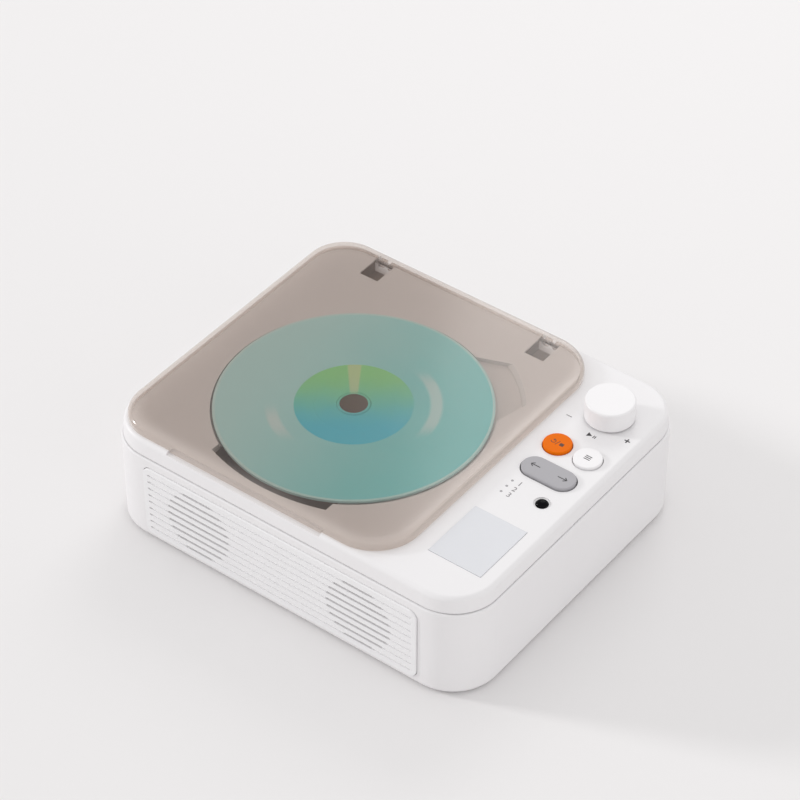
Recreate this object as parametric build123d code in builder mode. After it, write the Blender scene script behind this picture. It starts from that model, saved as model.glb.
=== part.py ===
"""Compact disc player with a smoked lid, two front speakers and a control strip.

Millimetres. +X runs left to right along the speaker front, +Y from front to back, +Z up.
The origin is under the middle of the whole outline, on the plane that the rubber feet stand on.
"""
import os
from math import atan, cos, degrees, pi, sin, sqrt, tau

from build123d import *

os.makedirs("parts", exist_ok=True)

# ---------------------------------------------------------------- driving dimensions
# Housing
body_x = 192.0             # width of the lower housing
body_y = 162.0             # depth of the lower housing
body_corner = 22.0         # plan radius of its corners
housing_h = 45.0           # base to parting line
wall = 2.4                 # housing wall
foot_proud = 1.0           # feet below the base
base_round = 2.4           # bottom edge
rim_round = 0.8            # upper outer edge, beside the shadow groove
shadow_gap = 0.5           # groove between housing and cover

# Cover
cover_h = 7.8              # side band of the cover
cover_inset = 0.9          # cover's foot inside the housing's outline
cover_draft = 0.6          # lean of the side band over its height
cover_round = 2.2          # upper edge
cover_wall = 2.0
deck_t = 2.2               # top of the cover
lip_clear = 0.2            # locating lip to cover wall
lip_t = 1.3
lip_up = 2.2               # lip above the rim
lip_root = 3.0             # thicker band below the rim
lip_notch_clear = 0.5      # lip to hinge cheek

# Disc and its well
disc_from_left = 80.0      # spindle to the housing's left side
disc_from_front = 72.4
disc_d = 120.0
disc_t = 1.2
disc_hole_d = 15.0
stack_ring_d = 34.4        # raised ring under the disc
stack_ring_w = 0.6
stack_ring_h = 0.2
disc_up = 0.9              # disc's top above the deck
disc_clear = 1.9           # disc's underside above the well floor
well_clear = 1.0           # disc's edge to the wall of its well
well_floor_t = 2.0
well_wall = 2.0
finger_pocket_r = 65.0     # deep pocket in front of the disc, out to its corners
finger_pocket_bow = 2.2    # its outer edge is nearer the spindle in the middle
finger_pocket_depth = 10.5 # below the deck
finger_pocket_in = 8.8     # radial width of the pocket
finger_pocket_half = 27.7  # half angle at the corners, degrees
finger_pocket_flare = 5.0  # wider than that at the inner end
pocket_wall = 1.6
scoop_r = 73.2             # shallow finger scoop behind and right of the disc
scoop_depth = 2.0
scoop_slope = 1.9          # its outer wall slopes over this width
scoop_angle = 48.2
scoop_half = 10.6          # half angle at the outer edge, degrees
scoop_flare = 13.0         # wider than that at the inner end
scoop_in = 3.0             # the scoop's cut reaches inside the well's wall
scoop_corner = 2.5

# Lid
lid_inset = 3.4            # lid's outline inside the housing's outline, left, front and back
lid_from_right = 42.4      # the lid's free edge to the housing's right side
lid_free_corner = 22.0
lid_h = 3.9
lid_t = 1.8
lid_round = 2.1
lid_gap = 0.25             # lid above the deck
lift_lip_x = 80.0          # lip along the lid's front edge, to lift it by
lift_lip_h = 0.9
lift_recess_clear = 0.6    # the deck's recess round the lip, at its ends and below
lift_recess_in = 2.6       # behind the lid's front edge
lift_recess_y = 10.0       # runs out over the cover's rounded front edge
lift_recess_corner = 2.0

# Lid hinges
hinge_span = 90.0          # between the two hinges
hinge_shift = 0.8          # middle of the pair, right of the lid's middle
pin_r = 1.0
pin_play = 0.05
press_clear = 0.01         # pressed pins and light pipes in their holes
lug_r = 2.0
ear_t = 2.2
ear_gap = 3.2              # between a lug's two ears
ear_root = 5.4             # ear's root on the lid, in front of the axis
pocket_x = 10.0            # hinge pocket in the deck
pocket_y = 14.2            # hinge pocket in front of the cover's back wall
pocket_drop = 6.0          # pocket and rear notch below the deck
pocket_floor_t = 1.0
hinge_cheek = 2.0          # walls that carry the pin

# Speaker front
grille_x = 144.0
grille_h = 37.6
grille_corner = 4.0
grille_t = 2.0
grille_proud = 0.8
grille_up = 22.2           # middle of the grille above the base
grille_gap = 0.3           # around the grille in its recess
grille_edge = 0.4
groove_count = 9
groove_pitch = 3.74
groove_w = 0.9
groove_depth = 0.9
groove_margin = 2.4        # groove end to grille edge
slot_w = 1.25
speaker_pitch = 84.8
speaker_open_r = 16.85
speaker_hole_r = 17.3
speaker_pad_t = 1.5        # thickening behind the recess
peg_r = 1.2
peg_in = 6.0               # pegs inside the grille's edges
peg_clear = 0.1

# Speakers
flange_w = 37.4            # square mounting flange
flange_corner = 4.5
flange_t = 1.2
flange_bore_r = 15.6
basket_r = 12.8            # back ring of the basket
basket_t = 0.9
basket_depth = 9.0
basket_plate_t = 1.0
basket_hole_r = 4.0
basket_window_w = 9.0
cone_r = 12.6
cone_inner_r = 4.6
cone_set = 0.6             # cone's edge behind the flange's face
cone_depth = 5.6
cone_t = 0.5
dome_rise = 1.6            # dust cap
roll_rise = 1.5            # half roll of the surround
roll_t = 0.5
magnet_r = 12.0
magnet_t = 7.5
magnet_round = 0.8
speaker_screw_r = 0.9
speaker_screw_half = 15.2  # screws from the speaker's axis, both ways
speaker_screw_head_r = 1.6
speaker_screw_head_t = 1.0
speaker_screw_bite = 1.4
speaker_screw_deep = 1.8   # pilot hole in the pad

# Mechanism
platter_r = 15.5
platter_t = 1.6
boss_r = 7.4               # centring boss in the disc's hole
boss_rise = 0.35           # boss above the disc
cap_r = 6.1
cap_rise = 0.45
cap_sink = 1.0             # cap's seat below the boss's top
cap_clear = 0.05
hub_r = 4.5
hub_h = 1.6
spindle_r = 1.0
shaft_play = 0.05
platter_window_r = 17.0
chassis_t = 1.5
chassis_drop = 3.2         # chassis plate below the well's floor
chassis_left = 70.5        # from the spindle
chassis_right = 20.0
chassis_half_y = 34.0
chassis_corner = 5.0
sled_window_half_y = 24.2
motor_r = 11.5
motor_h = 8.0
lens_inner = 24.5          # lens to spindle at the inner limit
sled_travel = 31.0
lens_r = 3.4
lens_clear = 1.6           # lens below the disc
lens_window_half_y = 12.0
lens_window_reach = 60.4
sled_x = 18.5
sled_y = 45.0
sled_h = 8.6
sled_drop = 0.5            # sled below the well's floor
sled_top_t = 3.0
sled_end_t = 2.5
lens_well_depth = 1.2
lens_well_margin = 1.5
rod_r = 1.5
side_rod_r = 1.0
rod_half_y = 18.0
rod_drop = 5.6             # rods below the well's floor
rod_play = 0.05
rod_lug_t = 3.5
rod_lug_w = 7.0

# Sled drive, module 0.8
gear_module = 0.8
pinion_teeth = 10
wheel_teeth = 26
motor_teeth = 8
rack_teeth = 16
gear_t = 2.4
gear_level_gap = 1.3
mesh_play = 0.16           # extra centre distance
rack_bar = 2.0
gear_x_from_spindle = -30.0
gear_pin_r = 1.0
sled_motor_r = 7.0
sled_motor_h = 7.0
sled_motor_angle = 50.0

# Isolators
isolator_x = (-50.0, 14.0)
isolator_half_y = 29.0
isolator_r = 4.5
isolator_waist = 3.2
isolator_h = 3.3
isolator_post_r = 2.0
chassis_screw_r = 0.9

# Control strip
strip_from_right = 21.6    # centre line of the controls to the housing's right side
knob_from_back = 30.0
knob_r = 10.9
knob_h = 9.2
knob_gap = 0.8
knob_round = 0.9
knob_travel = 0.6
shaft_r = 3.0
shaft_hole_r = 3.7
shaft_top = 7.0            # shaft above the deck
power_left = 7.4           # buttons either side of the centre line
mode_right = 7.9
buttons_from_knob = 27.8
button_r = 6.3
button_proud = 1.3
button_clear = 0.35
button_flange = 0.9
button_travel = 0.6
rocker_from_buttons = 17.0
rocker_l = 25.6
rocker_w = 12.0
rocker_proud = 1.3
rocker_clear = 0.5
rocker_tip = 2.5           # degrees each way
rocker_pin_r = 1.2
rocker_pin_drop = 2.2      # pin below the deck's underside
rocker_skin = 0.6          # rocker below its pin
rocker_hub = 6.0
rocker_lug_t = 1.8
rocker_lug_gap = 0.8       # rocker to lug
led_left = 9.8
led_from_rocker = 12.0
led_pitch = 4.0
led_r = 0.6
led_flange = 0.7
ir_right = 7.8
ir_from_rocker = 15.8
ir_r = 2.85
ir_clear = 0.05
ir_recess_r = 3.7
ir_recess_depth = 0.4
plate_from_front = 37.6
plate_w = 26.0
plate_h = 32.2
plate_t = 0.5
plate_recess = 0.35
plate_clear = 0.1

# Control board
board_t = 1.6
board_drop = 7.5           # board's face below the deck's underside
cboard_x = 31.0
cboard_ahead = 28.4        # board's front edge before the rocker
cboard_behind = 10.5       # board's back edge behind the knob
cboard_screw_in = 3.0
boss_small_r = 2.2
switch_w = 6.0
switch_h = 3.5
plunger_r = 1.7
plunger_h = 1.1
plunger_gap = 0.1          # plunger to a fully pressed button
encoder_w = 12.4
encoder_h = 4.6
bushing_r = 3.5
bushing_play = 0.05

# Base
post_in = 14.0             # case screws inside the housing's sides
post_r = 4.2
post_h = 20.8
cbore_r = 3.2
case_screw_r = 1.45
case_screw_l = 14.0
screw_head_r = 2.8
screw_head_t = 1.8
screw_seat_t = 4.0         # end of the post above the screw's head
screw_hole_r = 1.7
cover_boss_r = 3.3
foot_in_x = 28.0           # feet inside the housing's sides
foot_in_y = 16.0
foot_r = 6.5
foot_sink = 0.8
foot_clear = 0.05
keyhole_x = 120.0          # between the two wall hangers
keyhole_y = 8.0
keyhole_r = 4.5
keyhole_slot_r = 2.3
keyhole_slot_l = 11.0
keyhole_room = 6.0
keyhole_wall = 1.5

# Main board, sockets and battery
mboard_x = 86.0
mboard_y = 44.0
mboard_cx = 28.0
mboard_gap = 1.0           # board to back wall
mboard_standoff = 5.0
mboard_boss_r = 2.8
mboard_screw_in = 4.0
screw_pan_r = 2.0          # heads of the small screws
screw_pan_t = 1.2
screw_slack = 0.15         # small screws in the boards' holes
small_screw_l = 4.0        # small screws beyond the board they hold
jack_x = 5.0
usb_x = 27.0
charge_x = 48.0
jack_r = 3.0
jack_bore_r = 1.8
jack_bore_l = 12.4
jack_body = 8.0
usb_w = 13.2
usb_h = 5.8
usb_l = 13.0
charge_w = 9.0
charge_h = 3.2
charge_l = 7.4
shell_t = 0.4              # sheet metal of both USB shells
shell_up = 0.6             # shells above the board
socket_clear = 0.15
socket_set = 0.3           # sockets behind the back wall's face
pilot_clear = 0.02         # screw thread to its pilot hole
cell_r = 9.1
cell_l = 65.0
battery_y = -32.6
sleeve_t = 0.6
rail_t = 1.6
rail_clear = 0.3

# Small features of the inner parts
catch_l = 1.4              # cuts round the centring boss
catch_w = 0.5
catch_depth = 0.4
motor_collar_r = 3.0       # collar of the spindle motor
motor_collar_up = 0.6
motor_base_t = 1.0
motor_edge = 0.8
hole_slack = 0.1
rod_wall = 1.6             # chassis lug below its guide rod
gear_post_r = 2.6
gear_post_gap = 0.9
gear_pin_out = 0.8         # gear's pin beyond the gear
pinion_shaft_r = 0.8
pinion_shaft_in = 3.0      # inside the sled motor
sled_motor_flat = 10.4
screw_cap_out = 1.0        # chassis screw's head beyond its post
screw_cap_t = 1.2
lens_rim = 0.8             # lens holder's rim
lens_edge = 0.2
lens_dish = 0.3
knob_wall = 1.6
knob_top_t = 2.4
knob_foot_edge = 0.3
flat_cut = 2.0             # cut that makes the flat of the knob's shaft
flat_play = 0.02
fit_play = 0.01
shaft_step = 0.5           # shaft's neck below its seat in the knob
shaft_seat = 1.6
rotor_margin = 1.5
rotor_t = 1.0
rotor_gap = 0.1
encoder_lid_t = 0.6
bushing_over = 0.6         # bushing into the deck's hole
button_edge = 0.5
button_flange_out = 0.9
button_flange_gap = 0.15
button_foot_r = 2.0
rocker_edge = 0.6
ir_dome_up = 1.1           # dome above the deck
ir_flange = 0.8
receiver_x = 6.0
receiver_y = 5.0
receiver_h = 4.6
receiver_lens_r = 1.9
receiver_lens_h = 1.0
pipe_up = 1.1              # light pipe's foot above the board
led_w = 1.6
led_d = 1.2
led_h = 0.8
plate_corner = 0.6
chip_w = 12.0              # blocks on the main board
chip_left = 8.0
chip_ahead = 8.0
driver_w = 7.0
driver_d = 9.0
driver_right = 16.0
driver_ahead = 9.0
chip_h = 1.4
can_r = 4.0                # capacitors
can_h = 9.0
can_left = 28.0
can_right = 30.0
can_ahead = 6.0
shell_back = 1.0           # sockets' back walls
tongue_in = 1.0
tongue_w = 2.0             # tongue narrower than its shell
tongue_t = 1.8
tongue_up = 1.1
usb_foot_d = 9.0
charge_back = 0.6
charge_tongue_in = 0.8
charge_tongue_w = 2.4
charge_tongue_t = 0.7
charge_foot_d = 4.0
charge_foot_h = 0.3
jack_wall = 0.4
wrap_edge = 0.8            # battery wrap's ends
foot_edge = 0.4

# ---------------------------------------------------------------- levels and places
base_z = foot_proud
floor_z = base_z + wall
rim_z = base_z + housing_h
cover_z = rim_z + shadow_gap
deck_z = cover_z + cover_h
deck_under = deck_z - deck_t
disc_top = deck_z + disc_up
disc_bottom = disc_top - disc_t
well_r = disc_d / 2 + well_clear
well_z = disc_bottom - disc_clear
well_under = well_z - well_floor_t
grille_z = base_z + grille_up

body_cy = grille_proud / 2     # the grille stands proud, so the housing's middle lies behind the origin
front_y = body_cy - body_y / 2
back_y = body_cy + body_y / 2
cover_x = body_x - 2 * cover_inset
cover_y = body_y - 2 * cover_inset
cover_corner = body_corner - cover_inset
cover_taper = degrees(atan(cover_draft / cover_h))
cover_back = back_y - cover_inset - cover_draft

disc_x = disc_from_left - body_x / 2
disc_y = front_y + disc_from_front

lid_left = -body_x / 2 + lid_inset
lid_right = body_x / 2 - lid_from_right
lid_front = front_y + lid_inset
lid_back = back_y - lid_inset
lid_w = lid_right - lid_left
lid_d = lid_back - lid_front
lid_cx = (lid_left + lid_right) / 2
lid_cy = (lid_front + lid_back) / 2
lid_corner = body_corner - lid_inset
lid_z = deck_z + lid_gap
lid_skirt = lid_t
lift_recess_z = lid_z - lift_lip_h - lift_recess_clear

# The hinge axis is the centre of the cover's rounded back edge, so the lid clears it at any angle.
hinge_y = cover_back - cover_round
hinge_z = deck_z - cover_round
hinge_x = lid_cx + hinge_shift
hinge_places = [hinge_x - hinge_span / 2, hinge_x + hinge_span / 2]
pocket_back = cover_back - cover_wall
pocket_front = pocket_back - pocket_y
cheek_x = pocket_x + 2 * hinge_cheek

strip_x = body_x / 2 - strip_from_right
knob_y = back_y - knob_from_back
button_y = knob_y - buttons_from_knob
power_x = strip_x - power_left
mode_x = strip_x + mode_right
rocker_y = button_y - rocker_from_buttons
led_x = strip_x - led_left
led_y = [rocker_y - led_from_rocker - i * led_pitch for i in range(3)]
ir_x = strip_x + ir_right
ir_y = rocker_y - ir_from_rocker
plate_y = front_y + plate_from_front

speaker_places = [-speaker_pitch / 2, speaker_pitch / 2]
speaker_seat_y = front_y + wall + speaker_pad_t
groove_rows = [grille_z + (i - (groove_count - 1) / 2) * groove_pitch for i in range(groove_count)]
grille_sink = grille_t - grille_proud
peg_places = [
    (sx * (grille_x / 2 - peg_in), grille_z + sz * (grille_h / 2 - peg_in)) for sx in (-1, 1) for sz in (-1, 1)
]
speaker_screw_places = [
    (centre + sx * speaker_screw_half, grille_z + sz * speaker_screw_half)
    for centre in speaker_places for sx in (-1, 1) for sz in (-1, 1)
]

chassis_top = well_under - chassis_drop + chassis_t
chassis_z = chassis_top - chassis_t
sled_top = well_under - sled_drop
rod_z = well_under - rod_drop
lens_top = disc_bottom - lens_clear
lens_x = disc_x - lens_inner
window_left = disc_x - lens_inner - sled_travel - sled_x / 2 - 1.0
window_right = disc_x - motor_r - 1.6

pitch_pinion = gear_module * pinion_teeth / 2
pitch_wheel = gear_module * wheel_teeth / 2
pitch_motor = gear_module * motor_teeth / 2
rack_back = disc_y + sled_y / 2
rack_pitch_y = rack_back + rack_bar + gear_module
gear_x = disc_x + gear_x_from_spindle
gear_y = rack_pitch_y + pitch_pinion + mesh_play
rack_z = sled_top - sled_h
wheel_z = rack_z - gear_level_gap - gear_t
motor_centre = pitch_wheel + pitch_motor + mesh_play
motor_x = gear_x + motor_centre * cos(sled_motor_angle * pi / 180)
motor_y = gear_y + motor_centre * sin(sled_motor_angle * pi / 180)
isolator_places = [(disc_x + x, disc_y + s * isolator_half_y) for x in isolator_x for s in (-1, 1)]
isolator_z = (chassis_top + chassis_z) / 2 - isolator_h / 2
isolator_end = isolator_z - 0.2
isolator_post_l = well_under - isolator_end

cboard_top = deck_under - board_drop
cboard_front = rocker_y - cboard_ahead
cboard_back = knob_y + cboard_behind
cboard_y = (cboard_front + cboard_back) / 2
cboard_d = cboard_back - cboard_front
cboard_screws = [
    (strip_x + sx * (cboard_x / 2 - cboard_screw_in), cboard_y + sy * (cboard_d / 2 - cboard_screw_in))
    for sx in (-1, 1) for sy in (-1, 1)
]
button_places = {"power_button": power_x, "mode_button": mode_x}
plunger_top = cboard_top + switch_h + plunger_h
button_foot = plunger_top + button_travel + plunger_gap
rocker_pin_z = deck_under - rocker_pin_drop
rocker_hub_z = rocker_pin_z - rocker_pin_r - rocker_skin
rocker_arm = rocker_l / 2 - rocker_w / 2 + 2.6
lug_y = rocker_w / 2 + rocker_lug_gap + rocker_lug_t / 2
rocker_dip = rocker_arm * sin(rocker_tip * pi / 180)
rocker_foot = plunger_top + rocker_dip + plunger_gap
switch_places = [(power_x, button_y), (mode_x, button_y)]
switch_places += [(strip_x - rocker_arm, rocker_y), (strip_x + rocker_arm, rocker_y)]

post_x = body_x / 2 - post_in
post_y = body_y / 2 - post_in
post_places = [(sx * post_x, body_cy + sy * post_y) for sx in (-1, 1) for sy in (-1, 1)]
foot_x = body_x / 2 - foot_in_x
foot_y = body_y / 2 - foot_in_y
foot_places = [(sx * foot_x, body_cy + sy * foot_y) for sx in (-1, 1) for sy in (-1, 1)]
post_top = floor_z + post_h
head_z = post_top - screw_seat_t
keyhole_places = [(s * keyhole_x / 2, keyhole_y) for s in (-1, 1)]
keyhole_mid = (keyhole_slot_l - keyhole_r) / 2     # from the entry to the middle of the whole keyhole
mboard_cy = back_y - wall - mboard_gap - mboard_y / 2
mboard_top = floor_z + mboard_standoff + board_t
jack_z = mboard_top + jack_r + jack_wall
usb_z = mboard_top + shell_up + usb_h / 2
charge_z = mboard_top + charge_h / 2 + 0.1
socket_y = back_y - socket_set
mboard_screws = [
    (mboard_cx + sx * (mboard_x / 2 - mboard_screw_in), mboard_cy + sy * (mboard_y / 2 - 2 * mboard_screw_in))
    for sx in (-1, 1) for sy in (-1, 1)
]


def save(piece, name):
    """Label a finished sub-part and write its STEP file."""
    piece.label = name
    export_step(piece, f"parts/{name}.step")


def sector(inner, outer, half, flare=0.0, bow=0.0):
    """Closed outline about the sketch's X axis: an annular sector, its inner end wider by the flare angle
    and its outer edge drawn in by the bow at the middle."""
    a = half * pi / 180
    b = (half + flare) * pi / 180
    with BuildLine() as outline:
        far = ThreePointArc(
            (outer * cos(a), -outer * sin(a)), (outer - bow, 0), (outer * cos(a), outer * sin(a))
        )
        near = ThreePointArc((inner * cos(b), -inner * sin(b)), (inner, 0), (inner * cos(b), inner * sin(b)))
        Line(far @ 0, near @ 0)
        Line(far @ 1, near @ 1)
    make_face(outline.edges())


def gear_outline(teeth, module):
    """Spur gear outline: straight flanks on root and tip circles, a tooth on the sketch's X axis."""
    tip = module * (teeth / 2 + 0.85)
    root = module * (teeth / 2 - 1.1)
    step = tau / teeth
    with BuildLine() as outline:
        corners = []
        for i in range(teeth):
            for share, radius in ((-0.34, root), (-0.13, tip), (0.13, tip), (0.34, root)):
                turn = (i + share) * step
                corners.append((radius * cos(turn), radius * sin(turn)))
        Polyline(*corners, close=True)
    make_face(outline.edges())


# ---------------------------------------------------------------- lower housing
with BuildPart() as lower_housing:
    with BuildSketch(Plane.XY.offset(base_z)):
        with Locations((0, body_cy)):
            RectangleRounded(body_x, body_y, body_corner)
    extrude(amount=housing_h)
    fillet(lower_housing.edges().group_by(Axis.Z)[0], base_round)
    fillet(lower_housing.edges().group_by(Axis.Z)[-1], rim_round)
    with BuildSketch(Plane.XY.offset(floor_z)):
        with Locations((0, body_cy)):
            RectangleRounded(body_x - 2 * wall, body_y - 2 * wall, body_corner - wall)
    extrude(amount=housing_h, mode=Mode.SUBTRACT)
    # locating lip for the cover, standing on a thicker band of the wall, with notches for the hinge cheeks
    lip_out = cover_inset + cover_wall + lip_clear
    lip_in = lip_out + lip_t
    for outside, low, high in ((wall / 2, rim_z - lip_root, rim_z), (lip_out, rim_z - lip_t, rim_z + lip_up)):
        with BuildSketch(Plane.XY.offset(low)):
            with Locations((0, body_cy)):
                RectangleRounded(body_x - 2 * outside, body_y - 2 * outside, body_corner - outside)
                RectangleRounded(
                    body_x - 2 * lip_in, body_y - 2 * lip_in, body_corner - lip_in, mode=Mode.SUBTRACT
                )
        extrude(amount=high - low)
    with BuildSketch(Plane.XY.offset(rim_z)):
        with Locations(*[(x, back_y - lip_in) for x in hinge_places]):
            Rectangle(cheek_x + 2 * lip_notch_clear, 2 * lip_t + 1.0)
    extrude(amount=lip_up, mode=Mode.SUBTRACT)
    # pad behind the grille, its recess, and the speaker, screw and peg holes
    with BuildSketch(Plane.XZ.offset(-front_y - wall / 2)):
        with Locations((0, grille_z)):
            Rectangle(grille_x + 4.0, grille_h + 1.6)
    extrude(amount=-wall / 2 - speaker_pad_t)
    with BuildSketch(Plane.XZ.offset(-front_y)):
        with Locations((0, grille_z)):
            RectangleRounded(grille_x + 2 * grille_gap, grille_h + 2 * grille_gap, grille_corner + grille_gap)
    extrude(amount=-grille_sink, mode=Mode.SUBTRACT)
    with BuildSketch(Plane.XZ.offset(-front_y)):
        with Locations(*[(x, grille_z) for x in speaker_places]):
            Circle(speaker_hole_r)
        with Locations(*peg_places):
            Circle(peg_r + peg_clear)
    extrude(amount=-wall - speaker_pad_t, mode=Mode.SUBTRACT)
    with BuildSketch(Plane.XZ.offset(-speaker_seat_y)):
        with Locations(*speaker_screw_places):
            Circle(speaker_screw_r + pilot_clear)
    extrude(amount=speaker_screw_deep, mode=Mode.SUBTRACT)
    # screw posts, counterbored from below
    with BuildSketch(Plane.XY.offset(base_z + wall / 2)):
        with Locations(*post_places):
            Circle(post_r)
    extrude(amount=post_top - base_z - wall / 2)
    with BuildSketch(Plane.XY.offset(base_z)):
        with Locations(*post_places):
            Circle(cbore_r)
    extrude(amount=head_z - base_z, mode=Mode.SUBTRACT)
    with BuildSketch(Plane.XY.offset(head_z)):
        with Locations(*post_places):
            Circle(screw_hole_r)
    extrude(amount=screw_seat_t, mode=Mode.SUBTRACT)
    # shallow seats for the feet
    with BuildSketch(Plane.XY.offset(base_z)):
        with Locations(*foot_places):
            Circle(foot_r)
    extrude(amount=foot_sink, mode=Mode.SUBTRACT)
    # keyhole hangers, each with a closed room above for the screw's head
    with BuildSketch(Plane.XY.offset(base_z + wall / 2)):
        with Locations(*[(x, y + keyhole_mid) for x, y in keyhole_places]):
            Rectangle(2 * (keyhole_r + keyhole_wall), keyhole_slot_l + keyhole_r + 2 * keyhole_wall)
    extrude(amount=wall / 2 + keyhole_room + keyhole_wall)
    with BuildSketch(Plane.XY.offset(floor_z)):
        with Locations(*[(x, y + keyhole_mid) for x, y in keyhole_places]):
            Rectangle(2 * keyhole_r, keyhole_slot_l + keyhole_r)
    extrude(amount=keyhole_room, mode=Mode.SUBTRACT)
    with BuildSketch(Plane.XY.offset(base_z)):
        with Locations(*keyhole_places):
            Circle(keyhole_r)
        with Locations(*[(x, y + keyhole_slot_l / 2) for x, y in keyhole_places]):
            SlotOverall(keyhole_slot_l, 2 * keyhole_slot_r, rotation=90)
    extrude(amount=wall, mode=Mode.SUBTRACT)
    # standoffs for the main board and rails for the battery
    with BuildSketch(Plane.XY.offset(base_z + wall / 2)):
        with Locations(*mboard_screws):
            Circle(mboard_boss_r)
        with Locations(*[(s * (cell_l / 2 + sleeve_t + rail_clear + rail_t / 2), battery_y) for s in (-1, 1)]):
            Rectangle(rail_t, 4 * cell_r)
    extrude(amount=wall / 2 + mboard_standoff)
    with BuildSketch(Plane.XY.offset(floor_z + mboard_standoff)):
        with Locations(*mboard_screws):
            Circle(chassis_screw_r + pilot_clear)
    extrude(amount=-small_screw_l - 0.2, mode=Mode.SUBTRACT)
    # sockets through the back wall
    with BuildSketch(Plane.XZ.offset(-back_y)):
        with Locations((jack_x, jack_z)):
            Circle(jack_r + socket_clear)
        with Locations((usb_x, usb_z)):
            Rectangle(usb_w + 2 * socket_clear, usb_h + 2 * socket_clear)
        with Locations((charge_x, charge_z)):
            SlotOverall(charge_w + 2 * socket_clear, charge_h + 2 * socket_clear)
    extrude(amount=wall, mode=Mode.SUBTRACT)
save(lower_housing.part, "lower_housing")

# ---------------------------------------------------------------- top cover
# the scoop's shape: a flared sector whose outer wall slopes up to the deck
back_scoop = Plane((disc_x, disc_y, deck_z), z_dir=(0, 0, 1)).rotated((0, 0, scoop_angle))
with BuildPart() as scoop_cut:
    with BuildSketch(back_scoop.offset(-scoop_depth)) as scoop_outline:
        sector(well_r - scoop_in, scoop_r, scoop_half, scoop_flare)
        fillet(scoop_outline.vertices().sort_by(SortBy.DISTANCE)[-2:], scoop_corner)
    extrude(amount=scoop_depth)
    with BuildSketch(Plane((disc_x, disc_y, deck_z), x_dir=(1, 0, 0), z_dir=(0, -1, 0))):
        with BuildLine():
            Polyline(
                (0, 0), (scoop_r, 0), (scoop_r - scoop_slope, -scoop_depth), (0, -scoop_depth), close=True
            )
        make_face()
    revolve(axis=Axis((disc_x, disc_y, 0), (0, 0, 1)), mode=Mode.INTERSECT)

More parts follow.
